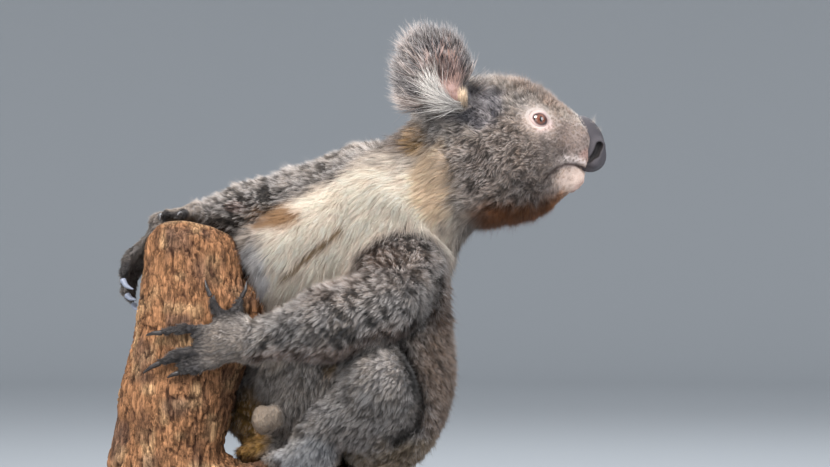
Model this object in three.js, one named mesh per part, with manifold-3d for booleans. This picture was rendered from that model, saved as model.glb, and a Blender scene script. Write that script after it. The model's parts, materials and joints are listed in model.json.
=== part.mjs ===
// A life-size koala holding a cut tree fork, on a plain display stand.
// Millimetres, +Z up. X runs across the animal's outline and +Y away from its left side.
// The origin is the middle of the base's underside. The animal sits on the side branch,
// hugs the trunk on its -X side and looks round over its left shoulder, towards +X, so its
// left limbs and the right side of its face are towards -Y.
import * as THREE from 'three';
import { mergeVertices } from 'three/addons/utils/BufferGeometryUtils.js';
import Module from 'manifold-3d';

const wasm = await Module();
wasm.setup();

// ---------- driving dimensions ----------
const GAP = 0.8; // clearance between neighbouring solids
const CARVE = 1.6; // clearance between flesh and what it lies on
const TOUCH = 0.004; // volume in cubic millimetres under which two pieces only touch
const SLACK = 0.11; // how far a facet may leave its surface, as a share of the grid's cell
const HEAD = at(151, 0, 449); // middle of the head
const EYE_R = 9.5; // eyeball
const BASE = { length: 460, depth: 300, thick: 20, corner: 24 };
const ROD_R = 9;
const TRUNK_CUT_Z = 84; // underside of the trunk
const BRANCH_CUT_X = 118; // sawn end of the side branch
const BRANCH_FOOT_Z = 82; // underside of the side branch over its rod

// ---------- places on the skeleton ----------
const S = {
  // spine
  pelvis: at(16, 20, 210), belly: at(10, 14, 256), loin: at(10, 20, 312), chest: at(28, 16, 364),
  sternum: at(-42, 10, 335),
  neckBase: at(78, 16, 410), nape: at(112, 6, 450),
  // left arm, across the front of the trunk
  shoulderL: at(60, -42, 328), elbowL: at(48, -86, 306), foreL: at(-6, -84, 287), wristL: at(-80, -60, 270),
  palmL: at(-112, -53, 268),
  // right arm, stretched over the top of the trunk
  shoulderR: at(24, 52, 420), elbowR: at(-58, 60, 397), foreR: at(-90, 58, 391), wristR: at(-130, 46, 388),
  palmR: at(-160, 36, 381),
  // left leg
  hipL: at(40, -24, 190), kneeL: at(42, -92, 234), ankleL: at(-24, -44, 178), footL: at(-28, -38, 160),
  // right leg
  hipR: at(18, 56, 192), kneeR: at(-110, 74, 220), ankleR: at(-74, 26, 172), footR: at(-66, 14, 160),
};

// ---------- vectors and signed distance fields ----------
function at(x, y, z) {
  return new THREE.Vector3(x, y, z);
}

// A limb section: two spheres and the cone that touches both.
function limb(a, b, ra, rb) {
  const ba = b.clone().sub(a);
  const l2 = ba.lengthSq();
  const rr = ra - rb;
  const a2 = l2 - rr * rr;
  return (p) => {
    const x = p.x - a.x, y = p.y - a.y, z = p.z - a.z;
    const along = x * ba.x + y * ba.y + z * ba.z;
    const past = along - l2;
    const off = (x * l2 - ba.x * along) ** 2
      + (y * l2 - ba.y * along) ** 2
      + (z * l2 - ba.z * along) ** 2;
    const k = Math.sign(rr) * rr * rr * off;
    if (Math.sign(past) * a2 * past * past * l2 > k) return Math.sqrt(off + past * past * l2) / l2 - rb;
    if (Math.sign(along) * a2 * along * along * l2 < k)
      return Math.sqrt(off + along * along * l2) / l2 - ra;
    return (Math.sqrt((off * a2) / l2) + along * rr) / l2 - ra;
  };
}

// An ellipsoid, turned by Euler angles in degrees.
function mass(c, rx, ry, rz, turn = [0, 0, 0]) {
  const euler = new THREE.Euler(...turn.map(THREE.MathUtils.degToRad));
  const back = new THREE.Matrix4().makeRotationFromEuler(euler).transpose();
  const q = at(0, 0, 0);
  return (p) => {
    q.copy(p).sub(c).applyMatrix4(back);
    const k0 = Math.hypot(q.x / rx, q.y / ry, q.z / rz);
    const k1 = Math.hypot(q.x / rx ** 2, q.y / ry ** 2, q.z / rz ** 2);
    return k1 < 1e-9 ? -Math.min(rx, ry, rz) : (k0 * (k0 - 1)) / k1;
  };
}

// A chain of limb sections through places, each with its radius.
function chain(k, ...stops) {
  return join(k, ...stops.slice(1).map((s, i) => limb(stops[i][0], s[0], stops[i][1], s[1])));
}

function smooth(a, b, k) {
  const h = Math.max(k - Math.abs(a - b), 0) / k;
  return Math.min(a, b) - (h * h * k) / 4;
}

const join = (k, ...fields) => (p) => fields.reduce((d, f) => smooth(d, f(p), k), 1e6);
const carve = (k, field, ...tools) => (p) => tools.reduce((d, t) => -smooth(-d, t(p), k), field(p));
const swell = (field, by) => (p) => field(p) - by;
const plane = (point, normal) => (p) =>
  (p.x - point.x) * normal.x + (p.y - point.y) * normal.y + (p.z - point.z) * normal.z;

// A field drawn in the head's own frame: x to the nose, y to its left, z to the crown.
function onHead(field, mirrored = true) {
  const q = at(0, 0, 0);
  return (p) => {
    q.copy(p).sub(HEAD);
    if (mirrored) q.y = Math.abs(q.y);
    return field(q);
  };
}

// ---------- from a field to a solid ----------
function solidOf(geometry) {
  const bare = geometry.clone();
  bare.deleteAttribute('normal');
  bare.deleteAttribute('uv');
  const merged = mergeVertices(bare, 1e-3);
  return new wasm.Manifold(new wasm.Mesh({
    numProp: 3,
    vertProperties: new Float32Array(merged.attributes.position.array),
    triVerts: new Uint32Array(merged.index.array),
  }));
}

// The one body of a solid that lies nearest to a place.
function bodyAt(solid, place) {
  const distance = (body) => {
    const box = body.boundingBox();
    const centre = new THREE.Box3(at(...box.min), at(...box.max)).getCenter(at(0, 0, 0));
    return centre.distanceTo(place) - 1e-3 * body.volume();
  };
  return solid.decompose().reduce((a, b) => (distance(a) < distance(b) ? a : b));
}

function geometryOf(solid) {
  const { vertProperties, triVerts } = solid.getMesh();
  const geometry = new THREE.BufferGeometry();
  geometry.setAttribute('position', new THREE.BufferAttribute(vertProperties, 3));
  geometry.setIndex(new THREE.BufferAttribute(triVerts, 1));
  return geometry;
}

// Whether a mesh keeps two faces on every edge when corners that lie closer than a step become
// one corner.
function isClean(geometry) {
  for (const step of [1e-3, 1e-4]) {
    const numbers = geometry.attributes.position.array;
    const key = (i) => [0, 1, 2].map((d) => Math.round(numbers[3 * i + d] / step)).join();
    const uses = new Map();
    for (let i = 0; i < geometry.index.count; i += 3) {
      const corner = [0, 1, 2].map((d) => key(geometry.index.array[i + d]));
      if (new Set(corner).size < 3) continue;
      for (const d of [0, 1, 2]) {
        const edge = [corner[d], corner[(d + 1) % 3]].sort().join('|');
        uses.set(edge, (uses.get(edge) ?? 0) + 1);
      }
    }
    if (![...uses.values()].every((n) => n === 2)) return false;
  }
  return true;
}

// A solid from a field in the box that spans the places, grown by a margin.
function grown(field, cell, margin, ...places) {
  const box = new THREE.Box3().setFromPoints(places).expandByScalar(margin);
  const p = at(0, 0, 0);
  const inside = (q) => -field(p.fromArray(q));
  const bounds = { min: box.min.toArray(), max: box.max.toArray() };
  return wasm.Manifold.levelSet(inside, bounds, cell, 0, cell / 40).simplify(SLACK * Math.min(cell, 16));
}

// ---------- cutters ----------
// Everything past a plane, as a box that is large enough for one limb.
function past(point, normal, size = 500) {
  const turn = new THREE.Quaternion().setFromUnitVectors(at(0, 0, 1), normal.clone().normalize());
  const box = new THREE.BoxGeometry(size, size, size).translate(0, 0, size / 2);
  return solidOf(box.applyQuaternion(turn).translate(point.x, point.y, point.z));
}

// A round cone between two places, as a solid that cuts a limb's root out of the trunk.
function limbCutter(a, b, ra, rb) {
  const length = a.distanceTo(b);
  const profile = [];
  const tilt = Math.asin((ra - rb) / length);
  const arc = (z, r, from, to, steps) => {
    for (let i = 0; i <= steps; i++) {
      const angle = from + ((to - from) * i) / steps;
      profile.push(new THREE.Vector2(Math.max(r * Math.cos(angle), 0), z + r * Math.sin(angle)));
    }
  };
  arc(0, ra, -Math.PI / 2, tilt, 3);
  arc(length, rb, tilt, Math.PI / 2, 3);
  profile[0].x = 0;
  profile.at(-1).x = 0;
  const turn = new THREE.Quaternion().setFromUnitVectors(at(0, 1, 0), b.clone().sub(a).normalize());
  const lathe = new THREE.LatheGeometry(profile, 14).applyQuaternion(turn).translate(a.x, a.y, a.z);
  return solidOf(lathe);
}

// ---------- claws ----------
// A hooked horn along a bend, with an oval section that narrows to a blunt point.
function claw(root, middle, tip, radius) {
  const bend = new THREE.QuadraticBezierCurve3(root, middle, tip);
  const sides = 5, steps = 3;
  const out = middle.clone().sub(root).cross(tip.clone().sub(middle)).normalize();
  const points = [root.clone()];
  for (let s = 0; s < steps; s++) {
    const t = s / steps;
    const side = bend.getTangent(t).cross(out).normalize();
    const r = radius * (1 - t) ** 0.75;
    for (let i = 0; i < sides; i++) {
      const angle = (2 * Math.PI * i) / sides;
      const across = side.clone().multiplyScalar(1.25 * r * Math.cos(angle));
      points.push(bend.getPoint(t).add(across).addScaledVector(out, r * Math.sin(angle)));
    }
  }
  points.push(tip.clone());
  const ring = (s, i) => 1 + s * sides + (i % sides);
  const faces = [];
  for (let i = 0; i < sides; i++) {
    faces.push(0, ring(0, i + 1), ring(0, i));
    for (let s = 0; s < steps - 1; s++) {
      faces.push(ring(s, i), ring(s, i + 1), ring(s + 1, i + 1));
      faces.push(ring(s, i), ring(s + 1, i + 1), ring(s + 1, i));
    }
    faces.push(ring(steps - 1, i), ring(steps - 1, i + 1), points.length - 1);
  }
  const solid = solidOf(new THREE.BufferGeometry().setFromPoints(points).setIndex(faces));
  if (solid.volume() > 0) return solid;
  for (let i = 0; i < faces.length; i += 3) [faces[i], faces[i + 1]] = [faces[i + 1], faces[i]];
  return solidOf(new THREE.BufferGeometry().setFromPoints(points).setIndex(faces));
}

// ---------- the perch ----------
const trunkTop = [at(-148, -22, 383), at(0.16, 0.26, 0.95).normalize()];
const trunkField = carve(24,
  join(18,
    chain(16, [at(-178, 5, 40), 55], [at(-170, 5, 148), 50], [at(-157, 5, 212), 52.5], [at(-141, 5, 269), 53],
      [at(-139, 5, 307), 50], [at(-140, 5, 430), 47]),
    mass(at(-94, -16, 298), 30, 28, 20)),
  (p) => -plane(...trunkTop)(p));
const branchField = chain(20, [at(-160, 0, 108), 42], [at(-60, -12, 116), 37], [at(160, -6, 112), 31]);
const perchField = join(26, trunkField, branchField);

// ---------- the animal's flesh, out to the tips of the coat ----------
const torso = join(40,
  mass(S.pelvis, 86, 82, 70),
  mass(S.belly, 98, 80, 78),
  mass(S.loin, 88, 78, 66),
  mass(S.chest, 90, 72, 70, [0, -42, 0]),
  mass(S.sternum, 58, 54, 60));
const neck = chain(30, [S.neckBase, 62], [S.nape, 54]);
const upperL = limb(S.shoulderL, S.elbowL, 42, 35);
const upperR = limb(S.shoulderR, S.elbowR, 43, 31);
const lowerL = chain(20, [S.elbowL, 35], [S.foreL, 36], [S.wristL, 20]);
const lowerR = chain(16, [S.elbowR, 31], [S.foreR, 30], [S.wristR, 15]);
const thighL = limb(S.hipL, S.kneeL, 50, 32);
const thighR = limb(S.hipR, S.kneeR, 50, 34);
const shinL = limb(S.kneeL, S.ankleL, 32, 22);
const shinR = limb(S.kneeR, S.ankleR, 34, 19);

// The head, in its own frame and mirrored across the middle.
const skull = join(26,
  mass(at(-5, 0, 23), 63, 50, 45),
  limb(at(22, 8, 4.5), at(63, 8, 9), 40.5, 26.5),
  mass(at(-14, 28, -16), 44, 36, 46),
  mass(at(22, 26, -8), 38, 28, 32),
  mass(at(14, 0, -32), 46, 34, 25),
  mass(at(-2, 0, -40), 44, 36, 19));
const chin = mass(at(64, 0, -28), 19, 22, 14.5);
const headField = onHead(join(7, skull, chin));
const nostril = limb(at(96, 13, 2), at(92, 15, -11), 3.4, 2.2);
const nosePad = join(8,
  join(10, mass(at(78, 0, 7), 20.5, 20, 24, [0, -20, 0]), mass(at(87, 0, -8), 12.5, 17, 12)),
  mass(at(74, 0, 18), 14, 21, 14));
const noseField = onHead(carve(2, nosePad, nostril));
const eyeSpot = at(34, 41.2, 27);
const earField = onHead(carve(10,
  mass(at(-62, 57, 70), 40, 20, 45, [-18, -12, -20]),
  mass(at(-54, 75, 65), 24, 15, 29, [-18, -12, -20])));

// A digit in three places that narrows to its claw.
const digit = (r, ...places) => chain(4, ...places.map((p, i) => [p, r * (1 - 0.1 * i)]));

// The left hand lies flat on the front of the trunk: two thumbs up, three fingers along.
const handL = {
  flesh: join(5,
    limb(S.wristL, S.palmL, 20, 16),
    mass(at(-112, -52, 266), 23, 13, 19),
    digit(7.6, at(-120, -53, 279), at(-146, -55, 281), at(-167, -50, 277)),
    digit(8.2, at(-122, -53, 264), at(-150, -55, 257), at(-168, -50, 250)),
    digit(7.4, at(-116, -54, 250), at(-134, -56, 244), at(-150, -54, 241)),
    digit(7, at(-103, -54, 280), at(-114, -54, 297), at(-121, -53, 312)),
    digit(7, at(-98, -54, 280), at(-96, -50, 298), at(-93, -45, 311))),
  claws: [
    [at(-166, -51, 277), at(-180, -51, 278), at(-187, -34, 271)],
    [at(-168, -51, 249), at(-182, -51, 244), at(-190, -35, 233)],
    [at(-150, -55, 240), at(-160, -57, 238), at(-165, -47, 232)],
    [at(-121, -53, 311), at(-127, -57, 324), at(-127, -46, 334)],
    [at(-93, -45, 310), at(-84, -50, 321), at(-90, -40, 334)],
  ],
};
// The right hand lies over the top of the trunk and hooks its fingers round the far edge.
const handR = {
  flesh: join(8,
    limb(S.wristR, S.palmR, 15, 13),
    mass(at(-168, 34, 378), 20, 15, 12, [0, 20, 0]),
    digit(8, at(-180, 26, 368), at(-202, 14, 348), at(-207, 2, 331)),
    digit(8, at(-178, 34, 362), at(-206, 26, 334), at(-206, 14, 314)),
    digit(7.5, at(-178, 40, 356), at(-202, 36, 326), at(-201, 24, 306)),
    digit(7, at(-158, 28, 386), at(-168, 8, 388), at(-171, -6, 386)),
    digit(7, at(-142, 32, 388), at(-150, 10, 389), at(-152, -4, 387))),
  claws: [
    [at(-208, 0, 327), at(-204, -6, 314), at(-189, -6, 318)],
    [at(-205, 12, 312), at(-200, 4, 304), at(-189, 2, 309)],
    [at(-199, 21, 303), at(-198, 12, 295), at(-188, 10, 297)],
    [at(-171, -8, 387), at(-173, -27, 388), at(-167, -33, 374)],
    [at(-152, -6, 388), at(-153, -24, 391), at(-156, -34, 382)],
  ],
};

// A foot grips the branch from one side: toes down its flank, the big toe along its top.
// side is -1 on the left foot and 1 on the right.
function footOn(place, side) {
  const to = (x, y, z) => at(place.x + x, place.y + side * y, place.z + z);
  const toes = [-18, -1, 15];
  return {
    flesh: join(8,
      mass(to(0, 0, 0), 26, 26, 15),
      limb(to(10, -12, 4), to(-2, 8, 2), 18, 15),
      ...toes.map((x) => digit(x < -10 ? 9.5 : 8, to(x, 10, -6), to(x, 17, -18), to(x, 22, -32))),
      digit(9, to(-14, 0, -2), to(-30, -4, -1), to(-40, -6, -3))),
    claws: [-22, -14, -1, 15].map((x) => [to(x, 23, -33), to(x, 28, -44), to(x, 22, -54)]),
  };
}
const footL = footOn(S.footL, -1);
const footR = footOn(S.footR, 1);
const scrotumField = join(5, mass(at(-72, -27, 195), 14, 14, 17), mass(at(-56, -33, 202), 14, 14, 18));

// ---------- cuts between the parts ----------
const CUT = {
  nape: [at(98, 8, 438), at(0.85, 0, 0.53)],
  neck: [at(66, 16, 396), at(0.7, 0, 0.71)],
  waist: [at(10, 16, 298), at(0.1, 0, 1)],
  elbowL: bend(S.shoulderL, S.elbowL, S.foreL), wristL: between(S.wristL, S.palmL, 0.1),
  elbowR: bend(S.shoulderR, S.elbowR, S.foreR), wristR: between(S.wristR, S.palmR, 0.2),
  kneeL: bend(S.hipL, S.kneeL, S.ankleL), ankleL: between(S.ankleL, S.footL, 0.1),
  kneeR: bend(S.hipR, S.kneeR, S.ankleR), ankleR: between(S.ankleR, S.footR, 0.1),
};
// The cut across a limb, a share of the way from one place to the next.
function between(a, b, share) {
  return [a.clone().lerp(b, share), b.clone().sub(a).normalize()];
}
// The cut through a bent joint, on the plane that halves the bend.
function bend(a, b, c) {
  const into = b.clone().sub(a).normalize();
  const out = c.clone().sub(b).normalize();
  return [b.clone(), into.add(out).normalize()];
}
// The part of a solid on one side of a cut, short of it by a distance.
const beyond = (solid, [point, normal], by = GAP / 2) =>
  solid.intersect(past(point.clone().addScaledVector(normal, by), normal));
const before = (solid, [point, normal], by = GAP / 2) =>
  solid.subtract(past(point.clone().addScaledVector(normal, -by), normal));
// The room that a limb's first section takes out of the torso, with a clearance all round.
const root = {
  armL: (by) => before(limbCutter(S.shoulderL, S.elbowL, 50 + by, 41 + by), CUT.elbowL, GAP / 2 - by),
  armR: (by) => before(limbCutter(S.shoulderR, S.elbowR, 50 + by, 40 + by), CUT.elbowR, GAP / 2 - by),
  legL: (by) => before(limbCutter(S.hipL, S.kneeL, 54 + by, 38 + by), CUT.kneeL, GAP / 2 - by),
  legR: (by) =>
    before(limbCutter(S.hipR, S.kneeR, 54 + by, 40 + by), CUT.kneeR, GAP / 2 - by)
      .subtract(root.legL(GAP)),
};
const withoutLimbs = (solid) => Object.values(root).reduce((s, cutter) => s.subtract(cutter(GAP)), solid);

// ---------- materials ----------
const paint = (color, roughness, metalness = 0) =>
  new THREE.MeshStandardMaterial({ color, roughness, metalness });
const LOOK = {
  fur: paint(0x8d8683, 0.95), pale_fur: paint(0xe9dfd0, 0.95), skin: paint(0xb9a79a, 0.8),
  nose: paint(0x4a4a4d, 0.45), eye: paint(0x3a1d12, 0.1), claw: paint(0x2c2a2b, 0.4),
  bark: paint(0x8a5a3c, 0.9), stand: paint(0x2f2f31, 0.6), rod: paint(0xa8a8aa, 0.35, 1),
};

// ---------- the parts ----------
const model = new THREE.Group();
const placed = {};
const largest = (solid) => solid.decompose().reduce((a, b) => (a.volume() > b.volume() ? a : b));

// Draws apart the corners of a solid that share one spot, each a hair's breadth into its own flesh.
function unpinch(solid, by = 0.03) {
  const geometry = geometryOf(solid);
  geometry.computeVertexNormals();
  const { position, normal } = geometry.attributes;
  const spots = new Map();
  for (let i = 0; i < position.count; i++) {
    const key = [0, 1, 2].map((d) => Math.round(position.array[3 * i + d] * 500)).join();
    spots.set(key, [...(spots.get(key) ?? []), i]);
  }
  for (const corners of spots.values())
    if (corners.length > 1)
      for (const i of corners)
        for (const d of [0, 1, 2]) position.array[3 * i + d] -= by * normal.array[3 * i + d];
  return new wasm.Manifold(new wasm.Mesh({
    numProp: 3, vertProperties: position.array, triVerts: new Uint32Array(geometry.index.array),
  }));
}

// Adds a node: its largest body, cut clear of what is already in place. It takes as few facets as
// leave a clean mesh that still overlaps nothing.
const overlap = (a, b) => a.intersect(b).volume();
function add(name, solid, look) {
  const others = Object.values(placed);
  const near = others.filter((other) => overlap(other, solid) > TOUCH);
  const body = largest(near.reduce((s, other) => s.subtract(other), solid));
  for (const slack of [0.28, 0.2, 0.12, 0.06, 0.02, 0.01, 0]) {
    placed[name] = largest(unpinch(body.simplify(slack)));
    const apart = others.every((other) => overlap(other, placed[name]) < TOUCH);
    if (apart && isClean(geometryOf(placed[name]))) break;
  }
  const geometry = geometryOf(placed[name]);
  geometry.computeVertexNormals();
  const mesh = new THREE.Mesh(geometry, LOOK[look]);
  mesh.name = name;
  model.add(mesh);
}
const clear = (field, ...tools) => carve(6, field, ...tools.map((t) => swell(t, CARVE)));
const perchBlank = (by) =>
  grown(swell(perchField, by), 27, 70, at(-170, 0, 100), at(150, 0, 100), at(-140, 0, 380));
const aroundPerch = perchBlank(CARVE);

function addHead() {
  const noseSpot = HEAD.clone().add(at(84, 0, 6));
  const ball = (side, r) => solidOf(new THREE.SphereGeometry(r, 12, 7)
    .translate(HEAD.x + eyeSpot.x, side * eyeSpot.y, HEAD.z + eyeSpot.z));
  const places = [-24, 20].map((x) => HEAD.clone().add(at(x, 0, 0)));
  const rough = grown(join(22, headField, neck), 15, 84, ...places);
  const noseRoom = grown(swell(noseField, 2 * GAP), 8, 40, noseSpot);
  const sockets = [ball(-1, EYE_R + GAP), ball(1, EYE_R + GAP), noseRoom];
  const open = sockets.reduce((s, socket) => s.subtract(socket), beyond(rough, CUT.nape));
  add('head', bodyAt(open, HEAD), 'fur');
  add('nose', grown(noseField, 8, 40, noseSpot), 'nose');
  for (const [name, side] of [['right', -1], ['left', 1]]) {
    add(`eye_${name}`, ball(side, EYE_R), 'eye');
    const ear = at(HEAD.x - 58, side * 54, HEAD.z + 70);
    add(`ear_${name}`, bodyAt(grown(clear(earField, headField, neck), 10.5, 62, ear), ear), 'fur');
  }
}

// Whole limbs, which their neighbours are kept clear of.
const armL = join(14, upperL, lowerL, handL.flesh);
const armR = join(14, upperR, lowerR, handR.flesh);
const legL = join(14, thighL, shinL, footL.flesh);
const legR = join(14, thighR, shinR, footR.flesh);
const hips = join(26, torso, thighL, thighR, shinL);
const limbs = {
  arm_left: { whole: clear(armL, legL), root: root.armL, cell: [19, 10.4], net: 60,
    stops: [S.shoulderL, S.elbowL, S.foreL, S.wristL, S.palmL], cuts: [CUT.elbowL, CUT.wristL] },
  arm_right: { whole: armR, root: root.armR, cell: [19, 10.4], net: 60,
    stops: [S.shoulderR, S.elbowR, S.foreR, S.wristR, S.palmR], cuts: [CUT.elbowR, CUT.wristR] },
  leg_left: { whole: legL, root: root.legL, cell: [20, 12.5], net: 66,
    stops: [S.hipL, S.kneeL, S.ankleL, S.footL], cuts: [CUT.kneeL, CUT.ankleL] },
  leg_right: { whole: legR, root: root.legR, cell: [20, 12.5], net: 66,
    stops: [S.hipR, S.kneeR, S.ankleR, S.footR], cuts: [CUT.kneeR, CUT.ankleR] },
};
// A limb past its elbow or knee, swollen by a clearance.
const outer = (limbKey, by) => {
  const { whole, cell, net, stops, cuts } = limbs[limbKey];
  return beyond(grown(swell(whole, by), cell[0], net, ...stops.slice(1)), cuts[0], GAP / 2 - by);
};
const outerLimbs = Object.keys(limbs).map((key) => outer(key, CARVE));
const withoutOuterLimbs = (solid) => outerLimbs.reduce((s, shell) => s.subtract(shell), solid);

function addTrunkOfBody() {
  const chestField = join(26, torso, neck, upperL, upperR);
  const hipField = join(26, torso, thighL, thighR);
  const whole = (field, cell) => withoutOuterLimbs(withoutLimbs(
    grown(field, cell, 130, S.pelvis, S.neckBase, S.shoulderL, S.shoulderR).subtract(aroundPerch)));
  const neckSolid = grown(join(22, headField, neck, torso, upperR), 22, 100, S.neckBase, S.nape);
  add('neck', bodyAt(withoutLimbs(before(beyond(neckSolid, CUT.neck), CUT.nape)), S.nape), 'fur');
  add('thorax', before(beyond(whole(chestField, 29), CUT.waist), CUT.neck), 'pale_fur');
  add('abdomen', before(whole(hipField, 29), CUT.waist), 'fur');
  const scrotum = grown(clear(scrotumField, torso, legL, legR), 9, 40, at(-64, -30, 198));
  add('scrotum', bodyAt(scrotum, at(-64, -32, 198)), 'skin');
}

// A limb's three sections: the root inside its room, the middle, and the hand or foot.
function addLimb(limbKey, names, blend, tip) {
  const { whole, root: room, cell, net, stops, cuts } = limbs[limbKey];
  const rootSolid = grown(blend, cell[0] + 4, 84, stops[0], stops[1]).subtract(aroundPerch);
  add(names[0], rootSolid.intersect(room(0)), 'fur');
  const middle = outer(limbKey, 0).subtract(aroundPerch);
  add(names[1], before(middle, cuts[1]), 'fur');
  const claws = tip.claws.map((c, i) => claw(...c, clawRadius(names[2], i)));
  const sockets = tip.claws.map((c, i) => claw(...c, clawRadius(names[2], i) + GAP));
  const reach = [...stops.slice(-2), ...tip.claws.map(([start]) => start)];
  const tipBlank = grown(tip.field, cell[1], net + 8, ...reach);
  const end = beyond(tipBlank.subtract(aroundPerch), cuts[1]);
  add(names[2], bodyAt(sockets.reduce((s, c) => s.subtract(c), end), stops.at(-1)), 'fur');
  claws.forEach((c, i) => add(`claw_${names[2]}_${i + (tip.first ?? 1)}`, c, 'claw'));
}
const clawRadius = (name, i) => (name.startsWith('hand') && i < 3 ? 3.4 : 3);

function addPerchAndStand() {
  const rods = [['trunk', at(-172, 5, 0), TRUNK_CUT_Z + 30], ['branch', at(70, -8, 0), BRANCH_FOOT_Z + 18]];
  const rod = (spot, top, r) => wasm.Manifold.cylinder(top - 8, r, r, 20).translate(spot.x, spot.y, 8);
  let perch = perchBlank(0).subtract(past(at(0, 0, TRUNK_CUT_Z), at(0, 0, -1), 900));
  perch = perch.subtract(past(at(BRANCH_CUT_X, 0, 110), at(1, 0, 0.12)));
  const corner = BASE.corner;
  const outline = new THREE.Shape();
  const x = BASE.length / 2, y = BASE.depth / 2;
  outline.moveTo(corner - x, -y).lineTo(x - corner, -y).quadraticCurveTo(x, -y, x, corner - y);
  outline.lineTo(x, y - corner).quadraticCurveTo(x, y, x - corner, y);
  outline.lineTo(corner - x, y).quadraticCurveTo(-x, y, -x, y - corner);
  outline.lineTo(-x, corner - y).quadraticCurveTo(-x, -y, corner - x, -y);
  const bevel = { bevelEnabled: true, bevelThickness: 2, bevelSize: 2, bevelOffset: -2, bevelSegments: 1 };
  const plate = new THREE.ExtrudeGeometry(outline, { depth: BASE.thick - 4, curveSegments: 4, ...bevel });
  let base = solidOf(plate.translate(0, 0, 2));
  for (const [name, spot, top] of rods) {
    perch = perch.subtract(rod(spot, top + GAP, ROD_R + GAP));
    base = base.subtract(rod(spot, top, ROD_R + GAP).translate(0, 0, -GAP));
    add(`stand_rod_${name}`, rod(spot, top, ROD_R), 'rod');
  }
  add('perch', perch, 'bark');
  add('stand_base', base, 'stand');
}

addPerchAndStand();
addHead();
addTrunkOfBody();
const arms = [['left', upperL, lowerL, handL], ['right', upperR, lowerR, handR]];
for (const [side, upper, lower, hand] of arms) {
  const names = [`upper_arm_${side}`, `forearm_${side}`, `hand_${side}`];
  const tip = { ...hand, field: clear(join(14, lower, hand.flesh), hips) };
  addLimb(`arm_${side}`, names, clear(join(24, upper, torso, lower), legL), tip);
}
const legs = [['left', thighL, shinL, footL], ['right', thighR, shinR, footR]];
for (const [side, thigh, shin, foot] of legs) {
  const names = [`thigh_${side}`, `shin_${side}`, `foot_${side}`];
  const tip = { ...foot, field: join(14, shin, foot.flesh), first: 2 };
  addLimb(`leg_${side}`, names, join(26, thigh, torso, shin), tip);
}

export default model;
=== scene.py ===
"""A life-size koala on a cut tree fork: skin, coat, eyes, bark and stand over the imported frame."""
import json

import bpy
import numpy as np
import openvdb as vdb
from mathutils import Matrix, Vector
from mathutils.kdtree import KDTree

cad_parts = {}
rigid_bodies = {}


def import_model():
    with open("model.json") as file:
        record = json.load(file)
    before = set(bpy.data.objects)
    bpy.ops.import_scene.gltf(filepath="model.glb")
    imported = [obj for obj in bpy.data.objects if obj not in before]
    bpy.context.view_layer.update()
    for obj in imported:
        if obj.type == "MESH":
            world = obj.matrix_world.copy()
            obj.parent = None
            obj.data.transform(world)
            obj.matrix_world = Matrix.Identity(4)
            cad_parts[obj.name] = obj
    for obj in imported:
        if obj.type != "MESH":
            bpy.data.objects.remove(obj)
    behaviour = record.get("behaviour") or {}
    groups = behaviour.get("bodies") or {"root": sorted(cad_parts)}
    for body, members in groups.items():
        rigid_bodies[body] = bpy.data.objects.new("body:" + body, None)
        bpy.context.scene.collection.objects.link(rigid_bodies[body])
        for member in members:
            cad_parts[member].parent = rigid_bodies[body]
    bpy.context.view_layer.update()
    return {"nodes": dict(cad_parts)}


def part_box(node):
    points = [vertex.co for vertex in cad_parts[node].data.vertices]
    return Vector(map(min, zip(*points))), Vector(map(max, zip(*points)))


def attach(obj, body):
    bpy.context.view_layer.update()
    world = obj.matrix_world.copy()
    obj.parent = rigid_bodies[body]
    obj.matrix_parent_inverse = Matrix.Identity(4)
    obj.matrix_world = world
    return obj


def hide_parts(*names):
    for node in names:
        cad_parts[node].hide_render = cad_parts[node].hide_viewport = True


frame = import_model()
rng = np.random.default_rng(11)

# ---------- sizes, in millimetres like the CAD ----------
MM = 0.001
VOXEL = 2.0
BAND = 13          # voxels of true distance kept each side of the surface
CLOSE = 2.0        # how far the solids swell to close the cuts between them
HEAD = np.array([151.0, 0.0, 449.0])
EYE_SPOT = np.array([34.0, 41.2, 27.0])   # in the head's own frame, mirrored in y
EYE_R = 9.5
TUFTS = 450_000
PIECE = 64_000     # the most tufts in one piece of the coat

# kind of part: coat depth, tuft length, tuft width, lift in degrees, tufts per square mm, smoothing
COAT = {
    "head": (2.6, 6.2, 0.58, 46, 2.7, 0.25),
    "neck": (7.5, 12, 0.9, 38, 1.2, 1),
    "thorax": (7.5, 14, 0.95, 34, 1.0, 1),
    "abdomen": (5.8, 8.8, 0.9, 42, 1.0, 1),
    "upper_arm": (5.6, 8.2, 0.78, 42, 1.5, 1),
    "forearm": (5.4, 7.8, 0.75, 42, 1.6, 0.8),
    "hand": (1.8, 4.2, 0.6, 26, 2.2, 0),
    "thigh": (5.4, 7.8, 0.8, 42, 1.4, 1),
    "shin": (5.2, 7.4, 0.75, 42, 1.5, 0.8),
    "foot": (2.4, 6, 0.8, 30, 1.8, 0),
    "ear": (13.0, 12, 0.8, 34, 1.2, 0.2),
    "scrotum": (1.2, 2.4, 0.5, 10, 2.0, 0.5),
}
FLESH = [n for n in frame["nodes"] if n.rsplit("_", 1)[0] in COAT or n in COAT]
kind_of = {n: (n if n in COAT else n.rsplit("_", 1)[0]) for n in FLESH}


def at(*v):
    return np.array(v, float)


def unit(v):
    return v / np.maximum(np.linalg.norm(v, axis=-1, keepdims=True), 1e-9)


# ---------- meshes in and out ----------
def mesh_arrays(obj):
    """World points in millimetres and triangles of an object."""
    mesh = obj.data
    mesh.calc_loop_triangles()
    points = vertex_values(obj, "co")
    tris = np.empty(len(mesh.loop_triangles) * 3, np.int32)
    mesh.loop_triangles.foreach_get("vertices", tris)
    world = np.array(obj.matrix_world)
    points = points @ world[:3, :3].T + world[:3, 3]
    return points / MM, tris.reshape(-1, 3)


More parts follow.
